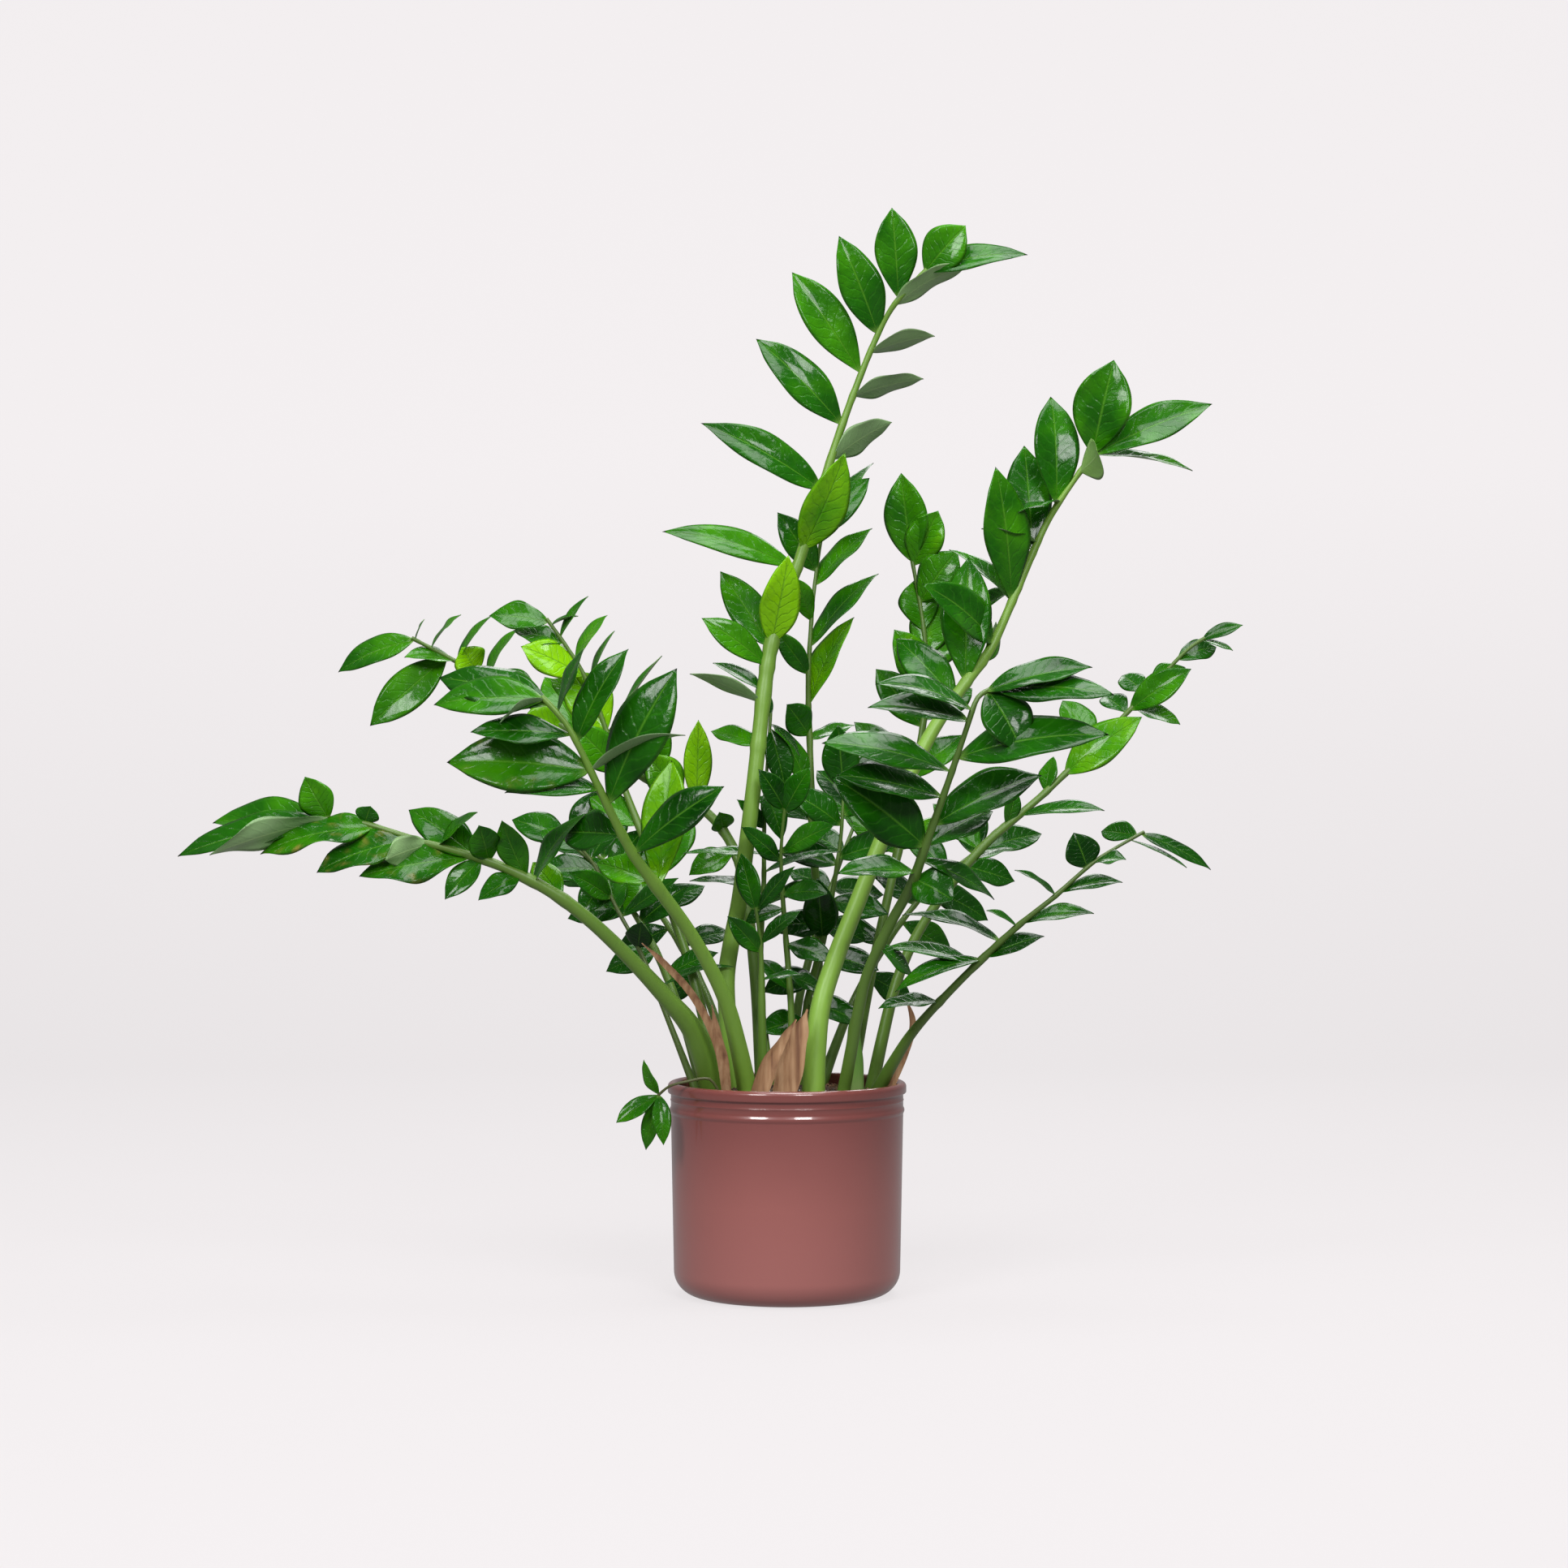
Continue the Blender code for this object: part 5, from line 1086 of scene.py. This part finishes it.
def leaf_place(tree, sink):
    """Where a point of the grid goes; sink is how far the rib lies under the upper skin."""
    u, v = named(tree, "u"), named(tree, "v")
    get = {name: named(tree, name) for name in POINT_NUMBERS}
    along, face = named(tree, "along", "FLOAT_VECTOR"), named(tree, "face", "FLOAT_VECTOR")
    base = named(tree, "base", "FLOAT_VECTOR")
    side = arrows(tree, "CROSS_PRODUCT", face, along)
    half = calc(tree, "MULTIPLY", get["half"], leaf_outline(tree, u, get["belly"]))
    off = calc(tree, "ABSOLUTE", v)
    arch = calc(tree, "MULTIPLY", calc(tree, "MULTIPLY", u, calc(tree, "SUBTRACT", 1.0, u)), 4.0)
    rise = calc(tree, "MULTIPLY", calc(tree, "MULTIPLY", arch, get["bow"]), get["length"])
    hang = calc(tree, "MULTIPLY", calc(tree, "MULTIPLY", calc(tree, "POWER", u, 3.0), get["droop"]),
                get["length"])
    bend = calc(tree, "SUBTRACT", calc(tree, "MULTIPLY", off, get["fold"]),
                calc(tree, "MULTIPLY", calc(tree, "POWER", off, 4.0), get["roll"]))
    turn = calc(tree, "MULTIPLY_ADD", u, 1.6, calc(tree, "MULTIPLY_ADD", v, 0.21, get["phase"]))
    ripple = calc(tree, "MULTIPLY", calc(tree, "SINE", calc(tree, "MULTIPLY", turn, math.tau)),
                  calc(tree, "MULTIPLY", calc(tree, "MULTIPLY", off, off), get["wave"]))
    height = calc(tree, "MULTIPLY", calc(tree, "ADD", bend, ripple), half)
    height = calc(tree, "ADD", height, calc(tree, "SUBTRACT", rise, hang))
    thinning = calc(tree, "SUBTRACT", 1.0, calc(tree, "MULTIPLY", off, off))
    height = calc(tree, "SUBTRACT", height, calc(tree, "MULTIPLY", thinning, sink))
    spot = arrows(tree, "ADD", base, scaled(tree, along, calc(tree, "MULTIPLY", u, get["length"])))
    spot = arrows(tree, "ADD", spot, scaled(tree, side, calc(tree, "MULTIPLY", half, v)))
    return arrows(tree, "ADD", spot, scaled(tree, face, height))


def scaled(tree, arrow, size):
    made = place(tree, "ShaderNodeVectorMath", {0: arrow}, operation="SCALE")
    tree.links.new(size, made.inputs["Scale"])
    return made.outputs[0]


def leaflet_tree():
    tree = growth_tree("leaflets")
    sockets = {"rows": inlet(tree, "Rows", "NodeSocketInt", ROWS),
               "columns": inlet(tree, "Columns", "NodeSocketInt", COLUMNS),
               "thickness": inlet(tree, "Thickness", "NodeSocketFloat", LEAF_THICKNESS)}
    given = tree.nodes.new("NodeGroupInput")
    grid = grid_with_uv(tree, given.outputs["Rows"], given.outputs["Columns"])
    instances = place(tree, "GeometryNodeInstanceOnPoints", {"Points": given.outputs["Geometry"],
                                                             "Instance": grid})
    flat = realized(tree, instances.outputs["Instances"])
    upper = place(tree, "GeometryNodeSetPosition",
                  {"Geometry": flat, "Position": leaf_place(tree, 0.0)})
    lower = place(tree, "GeometryNodeSetPosition",
                  {"Geometry": flat, "Position": leaf_place(tree, given.outputs["Thickness"])})
    marked = place(tree, "GeometryNodeStoreNamedAttribute",
                   {"Geometry": lower.outputs[0], "Name": "under", "Value": True},
                   data_type="BOOLEAN", domain="FACE")
    turned_over = place(tree, "GeometryNodeFlipFaces", {0: marked.outputs[0]})
    join = tree.nodes.new("GeometryNodeJoinGeometry")
    for shell in (upper, turned_over):
        tree.links.new(shell.outputs[0], join.inputs[0])
    closed = place(tree, "GeometryNodeMergeByDistance", {"Geometry": join.outputs[0], "Distance": WELD})
    smooth = place(tree, "GeometryNodeSetShadeSmooth", {"Geometry": closed.outputs[0]})
    green = coated(tree, realized(tree, smooth.outputs[0]), UPPER)
    give_back(tree, coated(tree, green, UNDER, named(tree, "under", "BOOLEAN")))
    return tree, sockets


LEAFLETS, LEAFLET_SOCKETS = leaflet_tree()
print("leaflet tree:", len(LEAFLETS.nodes), "nodes")

# %% [markdown]
# ## Turning node results into plain pieces
#
# A piece that is handed on has to be an ordinary mesh, so the tree is evaluated once, its result
# is copied, and the helper object is thrown away. A frond's points carry one number of each kind
# for every leaflet. They vary by a formula of a whole number, so each run grows the same plant.

# %% Plain mesh from a tree


def baked(name, mesh, tree, values):
    """Evaluate a tree on a mesh and return the result as a plain mesh object."""
    helper = bpy.data.objects.new(name + "_helper", mesh)
    bpy.context.scene.collection.objects.link(helper)
    modifier = helper.modifiers.new("grow", "NODES")
    modifier.node_group = tree
    for socket, value in values.items():
        modifier[socket] = value
    evaluated = helper.evaluated_get(bpy.context.evaluated_depsgraph_get())
    result = bpy.data.meshes.new_from_object(evaluated)
    bpy.data.objects.remove(helper, do_unlink=True)
    result.name = name
    piece = bpy.data.objects.new(name, result)
    bpy.context.scene.collection.objects.link(piece)
    return piece


def point_cloud(name, rows, vectors, numbers, edges=()):
    """A mesh of loose points (or a line) with named values, one row for each point."""
    mesh = bpy.data.meshes.new(name)
    mesh.from_pydata([tuple(row["base"]) for row in rows], list(edges), [])
    for key in vectors:
        layer = mesh.attributes.new(key, "FLOAT_VECTOR", "POINT")
        layer.data.foreach_set("vector", [c for row in rows for c in row[key]])
    for key in numbers:
        layer = mesh.attributes.new(key, "FLOAT", "POINT")
        layer.data.foreach_set("value", [row[key] for row in rows])
    return mesh


def share_of(seed, low, high):
    """A repeatable number between low and high for a whole-number seed."""
    return low + (high - low) * (0.5 + 0.5 * math.sin(seed * 12.9898 + math.cos(seed * 4.1414) * 43.7))


def hand_over(piece, node):
    """Tie a finished piece to its body and hide the plain solid it stands for."""
    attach(piece, BODY)
    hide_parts(node)


print("share for seed 1:", round(share_of(1, 0, 1), 3))

# %% Leaflets of every frond
WAVE = (0.03, 0.12)
DROOP = (0.0, 0.09)
VISIBLE_BOW = (0.02, 0.06)
VISIBLE_FOLD = (0.12, 0.3)
ROLL = (0.02, 0.12)
BELLY = (0.88, 1.12)
TONE_SPREAD = (-0.1, 0.1)
LEAFLET_SEEDS = 17              # seeds kept for each leaflet
FROND_SEEDS = 1000              # and for each frond


def leaflet_rows(name, placed, first_seed):
    base_tone, special = TONES.get(name, INNER_TONE_WITH_PAINTED_SHADE)
    rows = []
    for number, (base, length, along, normal, breadth) in enumerate(placed):
        seed = first_seed + number * LEAFLET_SEEDS
        tone = special.get(number, base_tone) + share_of(seed, *TONE_SPREAD)
        curl = CURLED.get(name, {}).get(number, 1.0)
        rows.append({"base": base, "along": along, "face": normal, "length": length,
                     "half": breadth * CM / 2, "tone": tone, "bow": share_of(seed + 1, *VISIBLE_BOW),
                     "scar": SCARRED.get(name, {}).get(number, 0.0),
                     "droop": share_of(seed + 2, *DROOP), "wave": share_of(seed + 3, *WAVE) * curl,
                     "phase": share_of(seed + 4, 0, 1), "fold": share_of(seed + 5, *VISIBLE_FOLD),
                     "roll": share_of(seed + 6, *ROLL), "belly": share_of(seed + 7, *BELLY)})
    return rows


leaflet_faces = 0
for order, (name, placed) in enumerate(PLAN.items()):
    rows = leaflet_rows(name, placed, 1 + order * FROND_SEEDS)
    cloud = point_cloud(name, rows, ("base", "along", "face"), POINT_NUMBERS)
    piece = baked(name + ".leaflets", cloud, LEAFLETS, {LEAFLET_SOCKETS["thickness"]: LEAF_THICKNESS})
    hand_over(piece, name)
    leaflet_faces += len(piece.data.polygons)
print("leaflet faces:", leaflet_faces)

# %% [markdown]
# ## Canes
#
# A cane is a stiff, fleshy stalk, swollen at its foot. Where a leaflet leaves it there is a small
# knuckle. It could be a bevelled curve, but a bevel is one thickness or a taper object, so the nodes turn
# a line of points into a curve and sweep a circle along it with a radius stored at each point. The same
# points carry the tone, which falls from the foot to the tip, so a cane is lighter at its foot and darker
# above.

# %% The cane tree and the canes
CANE_SIDES = 14
FINE_STEP = 0.7 * CM
KNUCKLE = 0.14                  # how much a cane swells where a leaflet leaves it
KNUCKLE_REACH = 0.45 * CM
# how much lower a cane's tone is at its tip than at its foot
TIP_FADE = 0.35


def cane_tree():
    tree = growth_tree("cane")
    sides = inlet(tree, "Sides", "NodeSocketInt", CANE_SIDES)
    given = tree.nodes.new("NodeGroupInput")
    curve = place(tree, "GeometryNodeMeshToCurve", {"Mesh": given.outputs["Geometry"]})
    radius = named(tree, "radius")
    thick = place(tree, "GeometryNodeSetCurveRadius", {"Curve": curve.outputs[0], "Radius": radius})
    circle = place(tree, "GeometryNodeCurvePrimitiveCircle", {"Resolution": given.outputs["Sides"],
                                                              "Radius": 1.0})
    swept = place(tree, "GeometryNodeCurveToMesh", {"Curve": thick.outputs[0],
                                                    "Profile Curve": circle.outputs["Curve"],
                                                    "Scale": radius, "Fill Caps": True})
    smooth = place(tree, "GeometryNodeSetShadeSmooth", {"Geometry": swept.outputs[0]})
    give_back(tree, coated(tree, realized(tree, smooth.outputs[0]), CANE))
    return tree, sides


CANES, CANE_SOCKET = cane_tree()


def cane_rows(name, frond, placed):
    coarse = cane_route(frond["route"], CANE_STEP)
    points = [coarse[0]] + smooth_route(coarse[1:], FINE_STEP)
    foot_tone = CANE_TONES.get(name, COMMON_CANE_TONE)
    rows = []
    for k, point in enumerate(points):
        share = k / (len(points) - 1)
        knuckle = sum(math.exp(-((point - leaf[0]).length / KNUCKLE_REACH) ** 2) for leaf in placed)
        swelling = 1 + KNUCKLE * min(knuckle, 1.0)
        rows.append({"base": point, "radius": cane_radius(share, frond["thick"]) * swelling,
                     "tone": foot_tone * (1.0 - TIP_FADE * share)})
    return rows


cane_faces = 0
for name, frond in FRONDS.items():
    rows = cane_rows(name, frond, PLAN[name])
    line = point_cloud(name, rows, (), ("radius", "tone"), [(k, k + 1) for k in range(len(rows) - 1)])
    piece = baked(name + ".cane", line, CANES, {CANE_SOCKET: CANE_SIDES})
    hand_over(piece, name)
    cane_faces += len(piece.data.polygons)
print("cane faces:", cane_faces)

# %% [markdown]
# ## The pot
#
# The pot is thrown on a wheel and glazed: nearly straight sides, a rounded foot, a rolled lip with
# a thin ridge and a round ring below it. The CAD pot has 48 sides, which would show as flats in a
# glossy glaze, so it is turned again to the same sizes with more sides, softer corners and a finer
# rim. A lathe-like function is used because the outline is one line that meets the axis at both
# ends.

# %% Turn the pot
RIM_RADIUS = 11.75 * CM
POT_HEIGHT = 20.9 * CM
BODY_TOP_RADIUS = 11.5 * CM
BODY_FOOT_RADIUS = 11.15 * CM
FOOT_CORNER = 2.4 * CM
RIM_BAND = 1.15 * CM            # height of the lip's face
RIDGE_DROP = 1.75 * CM          # a thin ridge below the lip
RING_DROP = 2.75 * CM           # and a round ring below that, both from the top
RIDGE_HALF, RIDGE_PROUD = 0.9 * MM, 0.5 * MM
RING_HALF, RING_PROUD = 3.6 * MM, 1.2 * MM
NECK_INSET = 0.5 * MM           # the neck between lip and side is this much slimmer
GROOVE = 0.8 * MM               # under the lip's face, with rounded corners
GROOVE_ROUND = 0.7 * MM
LIP_EDGE = 1.6 * MM
WALL = 0.65 * CM
FLOOR = 0.9 * CM
LIP_RADIUS = (RIM_RADIUS - (BODY_TOP_RADIUS - WALL)) / 2
MOUTH_RADIUS = RIM_RADIUS - 2 * LIP_RADIUS
INNER_FOOT = BODY_FOOT_RADIUS - WALL
INNER_CORNER = FOOT_CORNER - WALL
POT_TURNS = 144
SIDE_STEPS = 6


def turned(name, profile, sides, material):
    """A solid of revolution about Z from an outline that starts and ends on the axis."""
    vertices = [Vector((0, 0, profile[0][1])), Vector((0, 0, profile[-1][1]))]
    rings = profile[1:-1]
    for radius, height in rings:
        for k in range(sides):
            angle = math.tau * k / sides
            vertices.append(Vector((radius * math.cos(angle), radius * math.sin(angle), height)))
    faces = []
    for k in range(sides):
        following = (k + 1) % sides
        faces.append((0, 2 + following, 2 + k))
        last = 2 + (len(rings) - 1) * sides
        faces.append((1, last + k, last + following))
        for ring in range(len(rings) - 1):
            low = 2 + ring * sides
            high = low + sides
            faces.append((low + k, low + following, high + following, high + k))
    return mesh_piece(name, vertices, faces, material)


def arc(centre, radius, start, end, steps):
    """Points along an arc in the (radius, height) plane, angles in degrees."""
    points = []
    for k in range(steps + 1):
        angle = math.radians(start + (end - start) * k / steps)
        points.append((centre[0] + radius * math.cos(angle), centre[1] + radius * math.sin(angle)))
    return points


def moulding(neck, drop, half, proud):
    """A rounded ridge round the neck, its middle a given drop below the top of the pot."""
    points = []
    for k in range(-SIDE_STEPS, SIDE_STEPS + 1):
        swell = math.cos(math.pi / 2 * k / SIDE_STEPS) ** 1.3
        points.append((neck + proud * swell, POT_HEIGHT - drop + half * k / SIDE_STEPS))
    return points


def pot_profile():
    """Outline from the middle of the base, up the outside, over the lip and down to the floor."""
    band_foot = POT_HEIGHT - RIM_BAND
    neck = BODY_TOP_RADIUS - NECK_INSET
    flat = BODY_FOOT_RADIUS - FOOT_CORNER
    outline = [(0, 0), (flat * 0.5, 0), (flat * 0.98, 0)]
    outline += arc((flat, FOOT_CORNER), FOOT_CORNER, -90, 0, 14)
    low_side = Vector((BODY_FOOT_RADIUS, FOOT_CORNER))
    high_side = Vector((neck, POT_HEIGHT - RING_DROP - 1.1 * RING_HALF))
    outline += [tuple(low_side.lerp(high_side, k / SIDE_STEPS)) for k in range(1, SIDE_STEPS + 1)]
    outline += moulding(neck, RING_DROP, RING_HALF, RING_PROUD)
    outline += moulding(neck, RIDGE_DROP, RIDGE_HALF, RIDGE_PROUD)
    outline += [(neck, band_foot - GROOVE)]
    outline += arc((neck + GROOVE, band_foot), GROOVE_ROUND, 180, 90, 3)
    outline += arc((RIM_RADIUS - LIP_EDGE, band_foot + GROOVE_ROUND + LIP_EDGE), LIP_EDGE, -80, 0, 4)
    outline += arc((RIM_RADIUS - LIP_RADIUS, POT_HEIGHT - LIP_RADIUS), LIP_RADIUS, 0, 180, 16)
    outline += [(MOUTH_RADIUS, SOIL_EDGE), (MOUTH_RADIUS, SOIL_EDGE - 1 * CM)]
    outline += arc((INNER_FOOT - INNER_CORNER, FLOOR + INNER_CORNER), INNER_CORNER, 0, -90, 6)
    return outline + [(0, FLOOR)]


pot = turned("pot.glazed", pot_profile(), POT_TURNS, GLAZE)
hand_over(pot, "pot")
print("pot faces:", len(pot.data.polygons))

# %% [markdown]
# ## The potting mix
#
# The mix is a crumbly surface mounded round the canes. A turned solid gives its body, and noise
# moves its top up and down. On top of it the nodes scatter crumbs, bark chips and a few white
# grains of perlite at fixed seeds. Each grain has only twenty faces, because there are thousands.

# %% Body of the mix
MIX_RINGS = 40
MIX_TURNS = 120
MIX_ROUGHNESS = 2.2 * MM
MIX_LUMPS = ((70, 1.0), (210, 0.6), (520, 0.35))    # fineness and weight of each layer of noise
MIX_SIDE_GAP = 0.5 * MM
MIX_FOOT_GAP = 0.8 * MM
SOIL_CROWN = 20.5 * CM


def mix_height(x, y, radius_share):
    mound = SOIL_EDGE + (SOIL_CROWN - SOIL_EDGE) * (1 - radius_share ** 2)
    where = Vector((x, y, 0))
    lumps = sum(weight * noise.noise(where * fineness) for fineness, weight in MIX_LUMPS)
    return mound - MIX_ROUGHNESS * 0.6 + MIX_ROUGHNESS * 0.55 * lumps


def mix_body():
    top = MOUTH_RADIUS - MIX_SIDE_GAP
    centre = (INNER_FOOT - MIX_FOOT_GAP - INNER_CORNER, FLOOR + GAP + INNER_CORNER)
    outline = [(0, FLOOR + GAP)] + arc(centre, INNER_CORNER, -90, 0, 5)
    sides = len(outline)
    outline += [(top * (1 - k / MIX_RINGS), SOIL_EDGE) for k in range(MIX_RINGS)] + [(0, SOIL_CROWN)]
    piece = turned("potting_soil.bed", outline, MIX_TURNS, MIX)
    first = 2 + (sides - 1) * MIX_TURNS
    for index, vertex in enumerate(piece.data.vertices):
        if index >= first or index == 1:
            x, y = vertex.co.x, vertex.co.y
            vertex.co.z = mix_height(x, y, math.hypot(x, y) / top)
    return piece


bed = mix_body()
hand_over(bed, "potting_soil")
print("mix top:", round(max(v.co.z for v in bed.data.vertices) / CM, 2), "cm")

# %% Crumbs, bark and perlite


def grain_material(name, colour, other):
    material, tree, shader = new_material(name)
    cloud = object_noise(tree, 130.0, 2.0)
    tree.links.new(mix(tree, cloud, colour, other), shader.inputs["Base Color"])
    shader.inputs["Roughness"].default_value = 0.9
    wire_bump(tree, shader, object_noise(tree, 900.0, 2.0), 0.5, 0.4 * MM)
    return material


def scatter_tree():
    tree = growth_tree("grains")
    sockets = {name: inlet(tree, name, kind, value) for name, kind, value in (
        ("Density", "NodeSocketFloat", 1000.0), ("Size", "NodeSocketFloat", 1 * MM),
        ("Flatness", "NodeSocketFloat", 1.0), ("Seed", "NodeSocketInt", 1),
        ("Material", "NodeSocketMaterial", None))}
    given = tree.nodes.new("NodeGroupInput")
    seed = given.outputs["Seed"]
    spread = place(tree, "GeometryNodeDistributePointsOnFaces", {"Mesh": given.outputs["Geometry"],
                                                                 "Density": given.outputs["Density"],
                                                                 "Seed": seed})
    ball = place(tree, "GeometryNodeMeshIcoSphere", {"Radius": given.outputs["Size"], "Subdivisions": 1})
    spin = place(tree, "FunctionNodeRandomValue", {0: (0.0, 0.0, 0.0), 1: (math.tau,) * 3, 8: seed},
                 data_type="FLOAT_VECTOR")
    grow_by = place(tree, "FunctionNodeRandomValue", {2: 0.45, 3: 1.4, 8: seed}, data_type="FLOAT")
    sizes = place(tree, "FunctionNodeRandomValue", {0: (0.6, 0.5, 0.5), 1: (1.3, 1.0, 1.0), 8: seed},
                  data_type="FLOAT_VECTOR")
    flat = place(tree, "ShaderNodeCombineXYZ", {0: 1.0, 1: 1.0, 2: given.outputs["Flatness"]})
    shape = arrows(tree, "MULTIPLY", sizes.outputs[0], flat.outputs[0])
    shape = scaled(tree, shape, grow_by.outputs[1])
    made = place(tree, "GeometryNodeInstanceOnPoints", {"Points": spread.outputs["Points"],
                                                        "Instance": ball.outputs["Mesh"],
                                                        "Rotation": spin.outputs[0], "Scale": shape})
    give_back(tree, coated(tree, realized(tree, made.outputs[0]), given.outputs["Material"]))
    return tree, sockets


GRAINS, GRAIN_SOCKETS = scatter_tree()
GRAIN_KINDS = {                 # material, number in a square metre, size in mm, flatness, seed
    "crumbs": (grain_material("crumb", (0.055, 0.03, 0.017), (0.15, 0.085, 0.045)),
               42000.0, 1.3, 0.9, 3),
    "bark": (grain_material("bark_chip", (0.1, 0.052, 0.027), (0.26, 0.15, 0.08)),
             3200.0, 3.2, 0.4, 11),
    "perlite": (grain_material("perlite", (0.55, 0.53, 0.48), (0.72, 0.7, 0.66)),
                700.0, 1.3, 0.9, 23),
}


def top_of_mix():
    """A copy of the upper surface of the mix, for the grains to lie on."""
    mesh = bed.data.copy()
    work = bmesh.new()
    work.from_mesh(mesh)
    low = [f for f in work.faces if f.normal.z < 0.3 or f.calc_center_median().z < SOIL_EDGE - 1 * CM]
    bmesh.ops.delete(work, geom=low, context="FACES")
    work.to_mesh(mesh)
    work.free()
    return mesh


for kind, (material, density, size, flatness, seed) in GRAIN_KINDS.items():
    values = {GRAIN_SOCKETS["Density"]: density, GRAIN_SOCKETS["Size"]: size * MM,
              GRAIN_SOCKETS["Flatness"]: flatness, GRAIN_SOCKETS["Seed"]: seed,
              GRAIN_SOCKETS["Material"]: material}
    grains = baked("potting_soil." + kind, top_of_mix(), GRAINS, values)
    hand_over(grains, "potting_soil")
    print(kind, len(grains.data.polygons), "faces")

# %% [markdown]
# ## Dry sheaths and the new shoot
#
# Each cane first comes up wrapped in a sheath, which dries to brown paper and splits away. The
# blades are narrow strips that curl across their width and ripple along their length. The new
# shoot is still rolled up: a pointed spindle with the edges of its wraps showing. Both follow
# their own short list of points, so one sweep function with a cross-section makes them.

# %% Blades and shoot
BLADE_ROWS = 36
BLADE_STUB = 1.0 * CM           # how far a blade goes down below its first point
SHARP = math.radians(50)
SHEATH_COLUMNS = 12
SHEATH_THICKNESS = 0.7 * MM
SHEATH_SPREAD = 0.92            # how much of its planned width a curled sheath still covers
SHEATH_RIPPLE = 0.4 * MM
CURL = 0.5
CURL_DEPTH = 0.6
SHOOT_SIDES = 24
SHOOT_DEPTH = 5.5 * MM
SHOOT_FIT = 0.95                # keeps the raised wraps inside the planned spindle
WRAP_HEIGHT = 0.07
SHOOT_GREENS = [(0.0, (0.2, 0.26, 0.1)), (0.35, (0.12, 0.26, 0.04)), (0.8, (0.07, 0.2, 0.02)),
                (1.0, (0.2, 0.16, 0.06))]


def blade_frames(stations):
    """Even steps along a blade: middle, direction, side, face and half width."""
    points = [sighted(*station[:3]) for station in stations]
    foot = points[0].copy()
    foot.z -= BLADE_STUB
    points.insert(0, foot)
    widths = [stations[0][3]] + [station[3] for station in stations]
    ends = [2 * points[0] - points[1], *points, 2 * points[-1] - points[-2]]
    frames = []
    for k in range(BLADE_ROWS + 1):
        at = k / BLADE_ROWS * (len(points) - 1)
        n = min(int(at), len(points) - 2)
        t = at - n
        a, b, c, d = ends[n:n + 4]
        middle = between(a, b, c, d, t)
        ahead = (0.5 * ((c - a) + 2 * (2 * a - 5 * b + 4 * c - d) * t
                        + 3 * (3 * b - a - 3 * c + d) * t * t)).normalized()
        width = widths[n] + (widths[n + 1] - widths[n]) * (3 * t * t - 2 * t ** 3)
        front = Vector((0, -1, 0))
        face = (front - ahead * front.dot(ahead)).normalized()
        frames.append((middle, ahead, face.cross(ahead), face, width * CM / 2))
    return frames


def closed_mesh(name, rows, material):
    """Skin between closed rings of points, with both ends filled."""
    count = len(rows[0])
    vertices = [v for row in rows for v in row]
    faces = []
    for k in range(len(rows) - 1):
        for n in range(count):
            m = (n + 1) % count
            low = k * count
            faces.append((low + n, low + m, low + count + m, low + count + n))
    faces.append(tuple(reversed(range(count))))
    faces.append(tuple(range(len(vertices) - count, len(vertices))))
    piece = mesh_piece(name, vertices, faces, material)
    piece.data.set_sharp_from_angle(angle=SHARP)
    return piece


def sheath(name, stations):
    rows = []
    for k, (middle, ahead, side, face, half) in enumerate(blade_frames(stations)):
        ring = []
        wobble = noise.noise(Vector((k * 0.23, len(name), stations[0][0])))
        for back, facing in ((0, 1), (1, -1)):
            for n in range(SHEATH_COLUMNS + 1):
                v = facing * (2 * n / SHEATH_COLUMNS - 1)
                lift = half * (CURL * (v * v - 0.4) + 0.25 * wobble * v)
                lift += SHEATH_RIPPLE * noise.noise(Vector((v * 4, k * 0.3, stations[0][0] + 5)))
                off = lift * CURL_DEPTH - back * SHEATH_THICKNESS
                ring.append(middle + side * half * v * SHEATH_SPREAD + face * off)
        rows.append(list(reversed(ring)))
    return closed_mesh(name, rows, DRY)


def shoot_skin(low, high):
    """Pale at the foot, green above and browning at the point, between two heights."""
    material, tree, shader = new_material("shoot")
    where = place(tree, "ShaderNodeTexCoord").outputs["Object"]
    height = place(tree, "ShaderNodeSeparateXYZ", {0: where}).outputs["Z"]
    share = place(tree, "ShaderNodeMapRange", {"Value": height, "From Min": low,
                                               "From Max": high}).outputs["Result"]
    streak = object_noise(tree, 300.0, 3.0, (1, 1, 0.12))
    colour = tint(tree, ramp(tree, share, SHOOT_GREENS), streak, 0.4, (0.05, 0.13, 0.02))
    tree.links.new(colour, shader.inputs["Base Color"])
    shader.inputs["Roughness"].default_value = 0.38
    wire_bump(tree, shader, streak, 0.5, 0.7 * MM)
    return material


def shoot(name, stations):
    rows = []
    for k, (middle, ahead, side, face, half) in enumerate(blade_frames(stations)):
        ring = []
        deep = min(SHOOT_DEPTH, half * 0.8)
        for n in range(SHOOT_SIDES):
            angle = math.tau * n / SHOOT_SIDES
            wrap = SHOOT_FIT * (1 + WRAP_HEIGHT * math.cos(3 * angle + k * 0.06))
            ring.append(middle + side * math.cos(angle) * half * wrap
                        - face * math.sin(angle) * deep * wrap)
        rows.append(ring)
    return closed_mesh(name, rows, shoot_skin(19 * CM, 28.5 * CM))


for name, stations in BLADES.items():
    if name == "new_shoot":
        hand_over(shoot(name + ".spindle", stations), name)
    else:
        hand_over(sheath(name + ".paper", stations), name)
print("blades:", list(BLADES))

# %% [markdown]
# ## Sizes
#
# The two boxes show whether the dressed plant still fills the same space as its plain solids.

# %% Sizes and finish
dressed_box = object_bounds()
for kind, box in (("cad", cad_box), ("dressed", dressed_box)):
    print(kind, "box:", [[round(c, 3) for c in corner] for corner in box])
